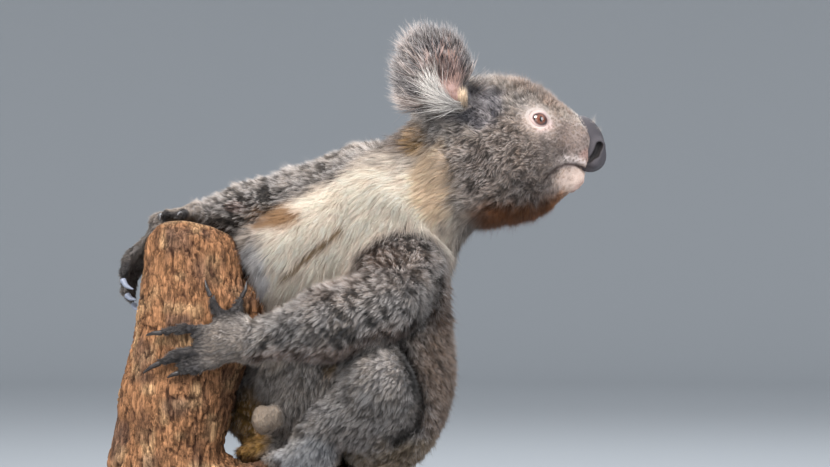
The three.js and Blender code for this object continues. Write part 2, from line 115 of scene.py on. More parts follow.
def make_object(name, points, faces, smooth=True):
    """A mesh object from points in millimetres and an array of triangles or squares."""
    mesh = bpy.data.meshes.new(name)
    sides = faces.shape[1]
    mesh.vertices.add(len(points))
    mesh.vertices.foreach_set("co", (np.asarray(points) * MM).astype(np.float32).ravel())
    mesh.loops.add(faces.size)
    mesh.loops.foreach_set("vertex_index", faces.astype(np.int32).ravel())
    mesh.polygons.add(len(faces))
    mesh.polygons.foreach_set("loop_start", np.arange(0, faces.size, sides, dtype=np.int32))
    mesh.polygons.foreach_set("use_smooth", np.full(len(faces), smooth))
    mesh.update(calc_edges=True)
    obj = bpy.data.objects.new(name, mesh)
    bpy.context.scene.collection.objects.link(obj)
    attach(obj, "root")
    return obj


def vertex_values(obj, key):
    """A three-number property of every vertex, as an array: its place in metres or its normal."""
    values = np.empty(len(obj.data.vertices) * 3)
    obj.data.vertices.foreach_get(key, values)
    return values.reshape(-1, 3)


def move_vertices(obj, points):
    obj.data.vertices.foreach_set("co", (points * MM).astype(np.float32).ravel())
    obj.data.update()


def point_colours(obj, name, colours):
    layer = obj.data.color_attributes.new(name, "FLOAT_COLOR", "POINT")
    rgba = np.ones((len(colours), 4), np.float32)
    rgba[:, :3] = colours
    layer.data.foreach_set("color", rgba.ravel())


# ---------- distance grids ----------
flesh_meshes = {n: mesh_arrays(bpy.data.objects[n]) for n in FLESH}
every_point = np.vstack([p for p, _ in flesh_meshes.values()])
LOW = np.floor(every_point.min(0) / VOXEL).astype(int) - 6
HIGH = np.ceil(every_point.max(0) / VOXEL).astype(int) + 6
SHAPE = tuple(HIGH - LOW)


def distance_grid(points, faces, voxel, band, low, shape):
    """Signed distance in millimetres to a closed mesh, as a dense array from the voxel low."""
    transform = vdb.createLinearTransform(voxelSize=voxel)
    kind = "triangles" if faces.shape[1] == 3 else "quads"
    polygons = {kind: faces.astype(np.uint32)}
    grid = vdb.FloatGrid.createLevelSetFromPolygons(
        points.astype(np.float32), transform=transform, halfWidth=float(band), **polygons)
    out = np.empty(shape, np.float32)
    grid.copyToArray(out, ijk=tuple(int(v) for v in low))
    return out


def grid_surface(values, voxel, band, low, level=0.0):
    """Points in millimetres and outward squares of a dense array's surface."""
    grid = vdb.FloatGrid(background=float(band * voxel))
    grid.transform = vdb.createLinearTransform(voxelSize=voxel)
    grid.gridClass = vdb.GridClass.LEVEL_SET
    grid.copyFromArray(np.ascontiguousarray(values.astype(np.float32)), ijk=tuple(int(v) for v in low))
    points, quads = grid.convertToQuads(isovalue=level)
    return np.array(points, float), np.array(quads, np.int64)[:, ::-1]


def grid_of(points, faces):
    """Signed distance over the animal's box."""
    return distance_grid(points, faces, VOXEL, BAND, LOW, SHAPE)


def surface_of(field, level=0.0):
    """The surface of a dense field over the animal's box."""
    return grid_surface(field, VOXEL, BAND, LOW, level)


SMALL_BAND = 5     # voxels of true distance for the small pieces
MARGIN = 4         # voxels left free round a small piece


def smoothed_mesh(obj, voxel, times, level=0.0):
    """An object meshed again at its own fine step and rounded."""
    points, tris = mesh_arrays(obj)
    low = np.floor(points.min(0) / voxel).astype(int) - MARGIN
    shape = tuple(np.ceil(points.max(0) / voxel).astype(int) + MARGIN - low)
    values = distance_grid(points, tris, voxel, SMALL_BAND, low, shape)
    return grid_surface(blur(values, times), voxel, SMALL_BAND, low, level)


def blur(field, times):
    out = field.copy()
    for _ in range(times):
        for axis in range(3):
            out = (np.roll(out, 1, axis) + 2 * out + np.roll(out, -1, axis)) / 4
    return out


def sample(field, points):
    """The field's value at each point, by straight lines between voxels."""
    g = points / VOXEL - LOW
    g = np.clip(g, 0, np.array(SHAPE) - 1.001)
    i = g.astype(int)
    f = g - i
    out = 0
    for dx in (0, 1):
        for dy in (0, 1):
            for dz in (0, 1):
                w = (abs(1 - dx - f[:, 0])) * (abs(1 - dy - f[:, 1])) * (abs(1 - dz - f[:, 2]))
                out = out + w * field[i[:, 0] + dx, i[:, 1] + dy, i[:, 2] + dz]
    return out


LATTICE = rng.random((32, 32, 32))


def noise(points, size, shift=0.0):
    """Smooth noise from -1 to 1, with features about size millimetres across."""
    g = points / size + shift
    i = np.floor(g).astype(int)
    f = g - i
    f = f * f * (3 - 2 * f)
    out = 0
    for dx in (0, 1):
        for dy in (0, 1):
            for dz in (0, 1):
                w = abs(1 - dx - f[:, 0]) * abs(1 - dy - f[:, 1]) * abs(1 - dz - f[:, 2])
                out = out + w * LATTICE[(i[:, 0] + dx) % 32, (i[:, 1] + dy) % 32, (i[:, 2] + dz) % 32]
    return 2 * out - 1


def ramp(x, low, high):
    """0 below low, 1 above high, smooth between."""
    t = np.clip((x - low) / (high - low), 0, 1)
    return t * t * (3 - 2 * t)


# ---------- shapes as distance functions, as the CAD has them ----------
def turned(degrees):
    """The rotation of x, then y, then z angles, as three.js has them."""
    x, y, z = np.radians(degrees)
    return np.array(Matrix.Rotation(x, 3, "X") @ Matrix.Rotation(y, 3, "Y") @ Matrix.Rotation(z, 3, "Z"))


def mass(p, centre, radii, turn=(0, 0, 0)):
    q = (p - centre) @ turned(turn)
    k0 = np.linalg.norm(q / radii, axis=-1)
    k1 = np.linalg.norm(q / np.square(radii), axis=-1)
    return k0 * (k0 - 1) / np.maximum(k1, 1e-6)


def limb(p, a, b, ra, rb):
    a, b = np.asarray(a, float), np.asarray(b, float)
    along = np.clip((p - a) @ (b - a) / ((b - a) @ (b - a)), 0, 1)
    return np.linalg.norm(p - a - along[..., None] * (b - a), axis=-1) - ra - (rb - ra) * along


def join(a, b, k):
    h = np.maximum(k - np.abs(a - b), 0) / k
    return np.minimum(a, b) - h * h * k / 4


def carve(a, b, k):
    return -join(-a, b, k)


def cup_share(q):
    """1 within the hollow of the ear's cup, in the head's frame."""
    return ramp(-mass(q, at(-51, 72, 66), (25, 18, 32), EAR_TURN), -3, 4)


def on_head(p):
    """World points as points of the head's own frame, mirrored to the side of positive y."""
    q = p - HEAD
    q[..., 1] = np.abs(q[..., 1])
    return q


# ---------- the skin ----------
EAR_TURN = (-18, -12, -20)
EAR_BASE = at(-44, 46, 40)
MOUTH_TOP = at(64, 0, -14)     # the highest place of the lip line, seen from the side


def pinna(q):
    """The thin cup of the ear, in the head's frame."""
    outer = mass(q, at(-61, 55, 66), (27, 13, 32), EAR_TURN)
    hollow = mass(q, at(-54, 67, 64), (20, 12, 25), EAR_TURN)
    stalk = limb(q, at(-40, 38, 30), at(-54, 50, 50), 16, 12)
    return join(carve(outer, hollow, 5), stalk, 8)


def mouth_line(q):
    """Height above the line between the lips, in the head's frame."""
    dx = q[:, 0] - MOUTH_TOP[0]
    drop = np.where(dx > 0, 0.018, 0.026) * dx * dx
    return q[:, 2] - MOUTH_TOP[2] + drop


def face_depth(p):
    """How much of the coat's depth is left near the nose, eyes and mouth: from 0 to 1."""
    q = on_head(p.copy())
    from_nose = np.linalg.norm((q - at(84, 0, -4)) , axis=-1)
    from_eye = np.linalg.norm(q - EYE_SPOT, axis=-1)
    return ramp(from_nose, 18, 90) * ramp(from_eye, 8, 30)


def voxel_points():
    """The place of every voxel of the animal's box, in millimetres."""
    axes = [(np.arange(n) + low) * VOXEL for n, low in zip(SHAPE, LOW)]
    return np.stack(np.meshgrid(*axes, indexing="ij"), -1)


# Folds where two parts of the coat meet, as paths seen from the side, each with its depth.
CREASES = [
    (7.0, [(56, 262), (67, 240), (73, 221), (75, 207), (70, 188), (52, 176)]),
    (4.5, [(94, 326), (88, 308), (76, 288), (63, 274), (48, 266)]),
    (3.0, [(48, 266), (20, 258), (-16, 247)]),
]


def crease(p):
    """Depth of the folds of the coat on the near side, in millimetres."""
    deep = 0
    flat = p * at(1, 0, 1)
    for most, path in CREASES:
        gaps = [limb(flat, (a[0], 0, a[1]), (b[0], 0, b[1]), 0, 0) for a, b in zip(path, path[1:])]
        deep = np.maximum(deep, most * np.exp(-np.square(np.minimum.reduce(gaps) / 5.5)))
    return deep * ramp(-p[..., 1], 16, 40)


def animal_fields():
    """The closed flesh as one field, and each node's own field."""
    own = {}
    whole = np.full(SHAPE, BAND * VOXEL, np.float32)
    for n, (points, tris) in flesh_meshes.items():
        own[n] = grid_of(points, tris)
        np.minimum(whole, own[n], out=whole)
    for n in ("nose", "eye_left", "eye_right"):
        np.minimum(whole, grid_of(*mesh_arrays(bpy.data.objects[n])), out=whole)
    closed = grid_of(*surface_of(whole, CLOSE)) + CLOSE
    return closed, own


def skin_field(closed, own):
    """The skin: the flesh drawn in by the coat's depth, with the ears' cups and eye sockets."""
    total = np.zeros(SHAPE, np.float32)
    depth = np.zeros(SHAPE, np.float32)
    soft = np.zeros(SHAPE, np.float32)
    p = voxel_points().astype(np.float32)
    face = face_depth(p)
    for n in FLESH:
        w = np.exp(-np.clip(own[n], -12, 26) / 5)
        coat = COAT[kind_of[n]]
        own_depth = 1.6 + (coat[0] - 1.6) * face if kind_of[n] == "head" else coat[0]
        depth += w * own_depth
        soft += w * coat[5]
        total += w
    depth /= total
    soft /= total
    raw = closed + depth
    field = raw + (blur(raw, 4) - raw) * np.clip(soft, 0, 1) + crease(p)
    q = on_head(p)
    field = join(field, pinna(q).astype(np.float32), 8)
    lip = mass(q, at(55, 13, -7), (27, 21, 11.5))
    field = join(field, lip.astype(np.float32), 8)
    chest_edge = mass(p, at(-82, 14, 352), (15, 26, 20))
    field = join(field, chest_edge.astype(np.float32), 12)
    eye = np.linalg.norm(q - EYE_SPOT, axis=-1) - EYE_R + 1.4
    return carve(field, eye.astype(np.float32), 1.5)


def face_relief(p):
    """Millimetres outward: the groove between the lips, the lips' rolls and small folds."""
    q = on_head(p.copy())
    h = mouth_line(q)
    here = ramp(q[:, 0], 34, 48) * ramp(-np.abs(q[:, 1]), -34, -20)
    groove = -3.6 * np.exp(-np.square(h / 1.9))
    lips = 1.3 * np.exp(-np.square((h - 5) / 3.2)) + 1.0 * np.exp(-np.square((h + 5) / 3.4))
    return here * (groove + lips)


def refine_face(obj):
    """Cuts the muzzle's squares twice, so that the lips have their own relief."""
    import bmesh
    for _ in range(2):
        bm = bmesh.new()
        bm.from_mesh(obj.data)
        spots = np.array([f.calc_center_median() for f in bm.faces]) / MM
        q = on_head(spots.copy())
        h = mouth_line(q)
        near = (q[:, 0] > 34) & (q[:, 1] < 36) & (np.abs(h) < 11)
        faces = [f for f, yes in zip(bm.faces, near) if yes]
        edges = list({e for f in faces for e in f.edges})
        bmesh.ops.subdivide_edges(bm, edges=edges, cuts=1, use_grid_fill=True)
        bm.to_mesh(obj.data)
        bm.free()
    points = vertex_values(obj, "co") / MM
    points += vertex_values(obj, "normal") * face_relief(points)[:, None]
    move_vertices(obj, points)


# ---------- colours ----------
def tone(r, g, b):
    """A colour given as a screen shows it, turned into linear light."""
    c = np.array([r, g, b]) / 255
    return np.where(c <= 0.04045, c / 12.92, ((c + 0.055) / 1.055) ** 2.4)


GREY = tone(184, 176, 171)
ARM_GREY = tone(202, 196, 194)
BACK_BROWN = tone(184, 162, 146)
CHEEK = tone(180, 164, 156)
BLUE_GREY = tone(128, 128, 142)
FOREHEAD = tone(158, 128, 108)
MUZZLE = tone(134, 118, 112)
NOSTRIL_PINK = tone(190, 150, 140)
EYE_PINK = tone(218, 192, 186)
LIP_PALE = tone(236, 220, 214)
CHIN = tone(236, 210, 195)
CHIN_EDGE = tone(196, 138, 92)
RUST = tone(140, 86, 42)
TAN = tone(240, 208, 170)
CREAM = tone(252, 236, 220)
OLIVE = tone(122, 96, 56)
ARMPIT = tone(150, 110, 66)
UMBER = tone(120, 92, 74)
SHOULDER = tone(118, 94, 80)
SOOT = tone(48, 47, 52)
HAND_GREY = tone(152, 144, 139)
FROST = tone(222, 224, 230)
STAIN = tone(204, 158, 82)
RUMP = tone(174, 148, 130)
RUMP_TAN = tone(190, 168, 138)
BARE = tone(164, 122, 112)
CONCHA = tone(196, 164, 156)
DARK_FRINGE = tone(82, 78, 81)
FAR_DARK = tone(78, 66, 60)
POUCH = tone(152, 136, 120)
TIP_PALE = tone(232, 228, 226)

# Each mark: its colour, centre, radii, strength, and the kinds of part it shows on. Marks on the
# head are in the head's frame and show on both sides; the others are in the model's frame.
HEAD_MARKS = [
    (CHEEK, (20, 20, -20), (90, 80, 70), 0.9),
    (BLUE_GREY, (-22, 40, 38), (34, 30, 30), 0.85),
    (FOREHEAD, (36, 0, 52), (52, 34, 34), 0.75),
    (MUZZLE, (66, 22, 4), (34, 28, 24), 0.8),
    (NOSTRIL_PINK, (80, 22, -8), (10, 14, 11), 0.6),
    (RUST, (14, 0, -58), (70, 66, 23), 0.95),
    (LIP_PALE, (58, 18, -26), (27, 28, 21), 0.5),
    (CHIN_EDGE, (54, 0, -42), (34, 30, 12), 0.85),
    (CHIN, (60, 0, -27), (34, 48, 16), 1.0),
    (NOSTRIL_PINK, (78, 0, -36), (14, 22, 11), 0.5),
    (EYE_PINK, (38.5, 42, 23), (13.5, 15, 9), 0.7),
    (CREAM, (-36, 56, 44), (11, 16, 11), 0.9),
]
BODY_MARKS = [
    (BACK_BROWN, (90, 20, 300), (60, 110, 190), 0.7, ("thorax", "abdomen")),
    (UMBER, (96, -20, 306), (26, 70, 34), 0.7, ("thorax", "abdomen", "upper_arm")),
    (RUMP, (92, -20, 222), (36, 80, 66), 0.75, ("abdomen", "thigh")),
    (RUMP_TAN, (60, 0, 158), (80, 110, 30), 0.85, ("abdomen", "thigh")),
    (CREAM, (14, -40, 378), (124, 88, 84), 1.0, ("thorax", "neck")),
    (CREAM, (-50, -20, 300), (52, 70, 60), 0.8, ("thorax", "abdomen")),
    (UMBER, (70, -10, 470), (44, 60, 26), 0.6, ("neck", "thorax", "upper_arm")),
    (TAN, (92, -34, 420), (22, 60, 44), 0.65, ("thorax", "neck", "head")),
    (STAIN, (74, -24, 462), (14, 34, 16), 0.6, ("neck",)),
    (FROST, (-80, -20, 336), (18, 60, 36), 0.8, ("thorax", "abdomen")),
    (SHOULDER, (22, -66, 344), (46, 50, 24), 0.8, ("upper_arm",)),
    (ARMPIT, (-60, 14, 387), (40, 56, 15), 0.9, ("upper_arm", "forearm", "thorax")),
    (BARE, (-100, 20, 396), (14, 24, 8), 0.7, ("forearm",)),
    (STAIN, (-92, 16, 176), (30, 50, 54), 1.0, ("shin", "thigh", "abdomen", "foot")),
    (FROST, (-38, -62, 164), (50, 34, 20), 0.95, ("foot", "shin")),
    (STAIN, (-8, -50, 256), (12, 30, 24), 0.6, ("thigh", "abdomen")),
]


def blob(p, centre, radii):
    """1 well inside an ellipsoid, 0 outside, with an uneven edge."""
    far = np.linalg.norm((p - np.array(centre)) / np.array(radii), axis=1)
    return 1 - ramp(far + 0.16 * noise(p, 9, 3.3), 0.62, 1.08)


def mix(a, b, share):
    return a + (b - a) * np.clip(share, 0, 1)[:, None]


def cream_share(p, shares):
    """How much a place belongs to the long pale coat of the chest and throat."""
    pale = [(centre, radii) for shade, centre, radii, _, _ in BODY_MARKS if shade is CREAM or shade is TAN]
    most = np.maximum.reduce([blob(p, centre, radii) for centre, radii in pale])
    return most * (shares["thorax"] + shares["neck"] + 0.5 * shares["abdomen"])


def coat_colour(p, n, shares):
    """The coat's colour at points p with normals n; shares says how much each kind of part is there."""
    of = lambda *kinds: sum(shares[k] for k in kinds)
    colour = np.tile(GREY, (len(p), 1))
    colour = mix(colour, ARM_GREY, of("upper_arm", "forearm", "thigh", "shin"))
    for shade, centre, radii, strength, kinds in BODY_MARKS:
        colour = mix(colour, shade, strength * blob(p, centre, radii) * of(*kinds))
    streak = np.exp(-np.square(limb(p * at(1, 0, 1), at(-48, 0, 336), at(4, 0, 380), 0, 0) / 3.2))
    colour = mix(colour, OLIVE, 0.95 * streak * of("thorax") * (p[:, 1] < 10))
    upper = ramp(n[:, 2], 0.1, 0.8) * (p[:, 1] < -20) * ramp(p[:, 0], -60, -20)
    colour = mix(colour, SHOULDER, 0.6 * upper * of("upper_arm", "forearm"))
    under = ramp(-n[:, 2], 0.35, 0.85)
    colour = mix(colour, RUST, 0.6 * under * of("upper_arm", "forearm"))
    far = of("upper_arm", "forearm", "hand") * (p[:, 1] > -10) * (p[:, 2] > 330)
    mottle = 0.5 + 0.5 * ramp(noise(p, 11, 17.0), -0.2, 0.5)
    colour = mix(colour, FAR_DARK, 0.9 * far * mottle * ramp(-n[:, 1] - 0.6 * n[:, 2], -0.1, 0.6))
    near_digits = np.maximum(ramp(-p[:, 0], 112, 138), ramp(p[:, 2], 284, 298)) * (p[:, 1] < -30)
    far_digits = np.maximum(0.6 * ramp(-p[:, 0], 176, 200), ramp(-p[:, 1], -14, -4)) * (p[:, 1] > -30)
    colour = mix(colour, HAND_GREY, 0.7 * of("hand"))
    colour = mix(colour, SOOT, 0.9 * (near_digits + far_digits) * of("hand"))
    colour = mix(colour, SOOT, 0.85 * ramp(-p[:, 2], -158, -140) * of("foot"))
    colour = mix(colour, POUCH, of("scrotum"))
    q = on_head(p.copy())
    for shade, centre, radii, strength in HEAD_MARKS:
        colour = mix(colour, shade, strength * blob(q, centre, radii) * of("head", "ear"))
    band = np.exp(-np.square((mouth_line(q) - 5.5) / 4.0)) * ramp(q[:, 0], 40, 60) * (q[:, 2] < 2)
    colour = mix(colour, LIP_PALE, 0.9 * band * of("head"))
    lip = np.exp(-np.square(mouth_line(q) / 1.9)) * ramp(q[:, 0], 29, 42) * of("head")
    colour = mix(colour, tone(62, 36, 30), 0.9 * lip)
    colour = mix(colour, DARK_FRINGE, 0.8 * of("ear"))
    colour = mix(colour, CONCHA, 0.85 * cup_share(q) * of("ear", "head"))
    return colour


# ---------- the lie of the coat ----------
LIE = {
    "thorax": (-0.1, 0, -1), "abdomen": (-0.1, 0, -1), "neck": (-0.75, 0, -0.5),
    "upper_arm_left": (-0.2, -0.3, -0.9), "forearm_left": (-0.75, 0.1, -0.65), "hand_left": (-1, 0, -0.25),
    "upper_arm_right": (-0.9, 0, -0.5), "forearm_right": (-0.95, -0.1, -0.3),
    "hand_right": (-0.8, -0.5, -0.5),
    "thigh_left": (-0.3, -0.5, -0.7), "shin_left": (-0.6, 0.3, -0.75), "foot_left": (-0.3, -0.2, -0.9),
    "thigh_right": (-0.8, 0.1, -0.5), "shin_right": (0.1, -0.5, -0.8), "foot_right": (-0.2, 0.2, -0.9),
    "scrotum": (0, 0, -1),
}


def lie_of(p, n, weights):
    """The direction in which the hairs lie at points p: along the body, away from the nose and ears."""
    lie = np.zeros_like(p)
    q = p - HEAD
    q_side, one = np.sign(q[:, 1]), np.ones(len(p))
    for node, w in weights.items():
        kind = kind_of[node]
        if kind == "head":
            way = unit(q - at(112, 0, 4)) + at(0, 0, -0.25)
        elif kind == "ear":
            way = unit(q - EAR_BASE * np.stack([one, q_side, one], 1)) * 1.5
        else:
            way = np.array(LIE.get(node, LIE.get(kind)), float)
        lie += w[:, None] * way
    swirl = np.stack([noise(p, 24, s) for s in (5.1, 9.7, 14.3)], 1)
    fine = np.stack([noise(p, 7, s) for s in (2.2, 7.1, 11.9)], 1)
    head = sum(w for node, w in weights.items() if kind_of[node] == "head")
    curl = (0.3 + 0.75 * head * face_depth(p))[:, None]
    lie = unit(lie) + 0.35 * swirl + curl * fine
    return unit(lie - n * np.sum(lie * n, 1, keepdims=True))


# ---------- tufts ----------
def kind_weights(p, own):
    """How near each node is to points p, as shares that add up to one."""
    raw = {n: np.exp(-np.clip(sample(own[n], p), -12, 26) / 4) for n in FLESH}
    total = sum(raw.values())
    return {n: w / total for n, w in raw.items()}


def kind_shares(weights):
    shares = {k: 0 for k in COAT}
    for n, w in weights.items():
        shares[kind_of[n]] = shares[kind_of[n]] + w
    return shares


def scatter(points, tris, density, count):
    """Random places on a mesh, more where density is higher: the places and their normals."""
    a, b, c = (points[tris[:, i]] for i in range(3))
    cross = np.cross(b - a, c - a)
    area = np.linalg.norm(cross, axis=1) / 2
    chance = area * density
    pick = rng.choice(len(tris), count, p=chance / chance.sum())
    u, v = rng.random((2, count))
    flip = u + v > 1
    u, v = np.where(flip, 1 - u, u), np.where(flip, 1 - v, v)
    place = a[pick] + u[:, None] * (b - a)[pick] + v[:, None] * (c - a)[pick]
    return place, unit(cross[pick])


def gather(p, spread, chance):
    """Draws tufts into locks: the tuft at the middle of each one's lock, and each one's distance from it."""
    locks = rng.choice(len(p), max(8, int(len(p) / spread)), replace=False, p=chance / chance.sum())
    tree = KDTree(len(locks))
    for i, j in enumerate(locks):
        tree.insert(p[j], i)
    tree.balance()
    found = [tree.find(v)[1:] for v in p.tolist()]
    lock = locks[np.array([f[0] for f in found])]
    return lock, np.array([f[1] for f in found])


def spikes(root, normal, lie, length, width, lift, pull):
    """Points and triangles of short straight tufts: three corners at the root and a tip."""
    side = np.cross(normal, lie)
    angle = np.radians(lift)
    tip = root + (np.cos(angle)[:, None] * lie + np.sin(angle)[:, None] * normal) * length[:, None] + pull
    base = root - normal * np.minimum(0.7, 0.12 * length)[:, None]
    points = np.empty((len(root), 4, 3))
    turn = rng.random(len(root)) * 2 * np.pi
    for i in range(3):
        a = turn + i * 2 * np.pi / 3
        offset = np.cos(a)[:, None] * side + 0.8 * np.sin(a)[:, None] * normal
        points[:, i] = base + offset * (width * 0.5)[:, None]
    points[:, 3] = tip
    return points, np.array([(0, 1, 3), (1, 2, 3), (2, 0, 3)])


def curved_locks(root, normal, lie, length, width, lift, droop):
    """Points and triangles of long bent tufts: rings at the root and at two thirds, and a tip."""
    side = np.cross(normal, lie)
    low, high = np.radians(lift), np.radians(lift - droop)
    rise = lambda angle: np.cos(angle)[:, None] * lie + np.sin(angle)[:, None] * normal
    base = root - normal * 0.7
    middle = root + rise(low) * (0.55 * length)[:, None]
    tip = middle + rise(high) * (0.45 * length)[:, None]
    points = np.empty((len(root), 7, 3))
    turn = rng.random(len(root)) * 2 * np.pi
    for ring, centre, share in ((0, base, 0.9), (1, middle, 0.8)):
        for i in range(3):
            a = turn + i * 2 * np.pi / 3
            offset = np.cos(a)[:, None] * side + 0.8 * np.sin(a)[:, None] * normal
            points[:, 3 * ring + i] = centre + offset * (width * share * 0.5)[:, None]
    points[:, 6] = tip
    pattern = []
    for i in range(3):
        j = (i + 1) % 3
        pattern += [(i, j, 3 + j), (i, 3 + j, 3 + i), (3 + i, 3 + j, 6)]
    return points, np.array(pattern)


closed, own = animal_fields()
skin_dense = skin_field(closed, own)
skin_points, skin_quads = surface_of(skin_dense)
skin = make_object("skin", skin_points, skin_quads)
refine_face(skin)
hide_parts(*FLESH)
skin_points, skin_tris = mesh_arrays(skin)
print("skin", len(skin_points), "points", len(skin_tris), "triangles")


# ---------- materials ----------
PAINT = "coat_paint"     # the colour layer of every painted mesh


def material(name, rough, sheen=0.0, coat=0.0, specular=0.5, subsurface=0.0):
    """A principled material: its constants sit on the shader's own sockets."""
    mat = bpy.data.materials.new(name)
    mat.use_nodes = True
    shader = mat.node_tree.nodes["Principled BSDF"]
    shader.inputs["Roughness"].default_value = rough
    shader.inputs["Sheen Weight"].default_value = sheen
    shader.inputs["Coat Weight"].default_value = coat
    shader.inputs["Specular IOR Level"].default_value = specular
    shader.inputs["Subsurface Weight"].default_value = subsurface
    return mat, mat.node_tree, shader


def node(tree, kind, feeds=(), **settings):
    """A new node. Settings go on its sockets or on itself; feeds are (socket, source, output)."""
    made = tree.nodes.new(kind)
    for key, value in settings.items():
        if key in made.inputs:
            made.inputs[key].default_value = value
        else:
            setattr(made, key, value)
    for socket, source, output in feeds:
        tree.links.new(source.outputs[output], made.inputs[socket])
    return made


def feed(tree, shader, socket, source, output):
    tree.links.new(source.outputs[output], shader.inputs[socket])


def place_node(tree, stretch):
    """The object's own coordinates, in metres, stretched along its axes."""
    place = node(tree, "ShaderNodeTexCoord")
    return node(tree, "ShaderNodeMapping", [("Vector", place, "Object")], Scale=stretch)


def noise_node(tree, scale, detail=4.0, stretch=(1, 1, 1), rough=0.6):
    feeds = [("Vector", place_node(tree, stretch), "Vector")]
    return node(tree, "ShaderNodeTexNoise", feeds, Scale=scale, Detail=detail, Roughness=rough)


def span_node(tree, source, output, low, high, to_low, to_high):
    """A source's values from low to high, spread from to_low to to_high."""
    span = node(tree, "ShaderNodeMapRange", [("Value", source, output)])
    for key, value in zip(("From Min", "From Max", "To Min", "To Max"), (low, high, to_low, to_high)):
        span.inputs[key].default_value = value
    return span


def paint_node(tree, shader, factor, output):
    """The mesh's painted layer times a factor, as the shader's colour."""
    paint = node(tree, "ShaderNodeAttribute", attribute_name=PAINT)
    feeds = [(0, paint, "Color"), ("Scale", factor, output)]
    blend = node(tree, "ShaderNodeVectorMath", feeds, operation="SCALE")
    feed(tree, shader, "Base Color", blend, "Vector")


def bump_node(tree, shader, height, output, strength, depth):
    """Relief from a height, depth millimetres deep."""
    feeds = [("Height", height, output)]
    relief = node(tree, "ShaderNodeBump", feeds, Strength=strength, Distance=depth * MM)
    feed(tree, shader, "Normal", relief, "Normal")


def painted(name, rough, grain, grain_depth, bump=0.0, **settings):
    """A material whose colour is the mesh's painted layer, with a fine grain and bump over it."""
    mat, tree, shader = material(name, rough, **settings)
    grains = noise_node(tree, grain)
    span = span_node(tree, grains, "Fac", 0.3, 0.7, 1 - grain_depth, 1 + grain_depth)
    paint_node(tree, shader, span, "Result")
    if bump:
        bump_node(tree, shader, grains, "Fac", 0.6, bump)
    return mat


def two_toned(name, rough, grain, tones, **settings):
    """A material that wavers between two tones along a grain: its tree, shader and grain come too."""
    mat, tree, shader = material(name, rough, **settings)
    grains = noise_node(tree, *grain)
    colours = node(tree, "ShaderNodeValToRGB", [("Fac", grains, "Fac")])
    for element, shade in zip(colours.color_ramp.elements, tones):
        element.color = (*shade, 1)
    feed(tree, shader, "Base Color", colours, "Color")
    return mat, tree, shader, grains


# ---------- the coat ----------
FUR = painted("fur", 0.85, 900, 0.12, sheen=0.04, specular=0.2)
SKIN = painted("skin_under_fur", 0.8, 1500, 0.25, bump=0.6, specular=0.25)


ARM_ROWS, BODY_ROWS = at(-0.72, 0, -0.7), at(-0.25, 0, -0.97)   # the ways that rows of gaps lie across
ROW_SIZE = 4.8                 # of the gaps between rows
FOLD_DEPTH = 9                 # of a crease whose base is wholly in painted shade


def openings(p, shares):
    """Uneven rows across the lie, where the coat opens and painted shade darkens its base: 1 in the middle
    of a gap.
    """
    arms = shares["upper_arm"] + shares["forearm"]
    way = np.outer(arms, ARM_ROWS) + np.outer(1 - arms, BODY_ROWS)
    along = np.sum(p * way, 1) * (1 - shares["head"])
    rows = p * (0.42 + 0.6 * shares["head"])[:, None] + way * along[:, None]
    wander = 4 * noise(p, 16, 21.0)[:, None]
    return ramp(noise(rows + wander, ROW_SIZE, 31.0), 0.08, 0.4)


def readiness(shares, cream, face):
    """How readily the coat opens into rows: not on the ears, the pale chest, the paws or the nose."""
    furred = (1 - shares["ear"]) * (1 - shares["scrotum"]) * (1 - 0.9 * cream)
    furred = furred * (1 - 0.35 * (shares["thigh"] + shares["shin"])) * (1 - 0.6 * shares["abdomen"])
    return furred * (1 - 0.45 * shares["head"]) * (1 - 0.7 * (shares["hand"] + shares["foot"])) * face


def gap_share(p, shares, ready):
    """1 where the coat is shortened and its base takes painted shade: in its openings and in the body's
    folds.
    """
    return np.maximum(ready * openings(p, shares), np.clip(crease(p) / FOLD_DEPTH, 0, 1))


def paint_skin():
    """Skin colours: the coat's own, with painted shade where the coat stands deep over it, and in the coat's
    openings and folds.
    """
    weights = kind_weights(skin_points, own)
    shares = kind_shares(weights)
    colour = coat_colour(skin_points, vertex_values(skin, "normal"), shares)
    bare = 1 - face_depth(skin_points)
    bare = np.where(shares["head"] > 0.5, bare, 0) + shares["scrotum"] + 0.5 * shares["hand"]
    bare = bare + 0.9 * cream_share(skin_points, shares) + 0.8 * cup_share(on_head(skin_points.copy()))
    # painted shade: the skin darker under the fur, and darker still in the coat's openings and folds
    deep = 0.3 + 0.62 * np.clip(bare, 0, 1)
    face = np.where(shares["head"] > 0.5, face_depth(skin_points), 1)
    gaps = gap_share(skin_points, shares, readiness(shares, cream_share(skin_points, shares), face))
    point_colours(skin, PAINT, colour * (deep * (1 - 0.8 * gaps))[:, None])
    skin.data.materials.append(SKIN)
    return shares


CHARTS = {
    # coat piece: its nodes, and the axis that its unwrap goes round
    "coat_head": (("head",), (HEAD - at(60, 0, 0), HEAD + at(90, 0, 0))),
    "coat_ears": (("ear_left", "ear_right"), (HEAD + at(-60, -110, 60), HEAD + at(-60, 110, 60))),
    "coat_neck": (("neck",), (at(40, 16, 380), at(120, 6, 450))),
    "coat_thorax": (("thorax",), (at(10, 16, 298), at(50, 16, 420))),
    "coat_abdomen": (("abdomen", "scrotum"), (at(16, 20, 120), at(10, 20, 320))),
    "coat_arm_left": (("upper_arm_left", "forearm_left"), (at(60, -50, 330), at(-100, -60, 266))),
    "coat_arm_right": (("upper_arm_right", "forearm_right"), (at(24, 52, 420), at(-150, 44, 384))),
    "coat_leg_left": (("thigh_left", "shin_left"), (at(50, -50, 215), at(-20, -50, 190))),
    "coat_leg_right": (("thigh_right", "shin_right"), (at(20, 60, 200), at(-110, 50, 200))),
    "coat_paws": (
        ("hand_left", "hand_right", "foot_left", "foot_right"), (at(-60, 0, 100), at(-160, 0, 400))),
}
PATCH = 0.003
FRINGE = 5200     # long hairs round each ear
EAR_LOCKS = 520                               # long white hairs in each ear
LOCK_TUFTS = 22                               # tufts drawn together into one lock
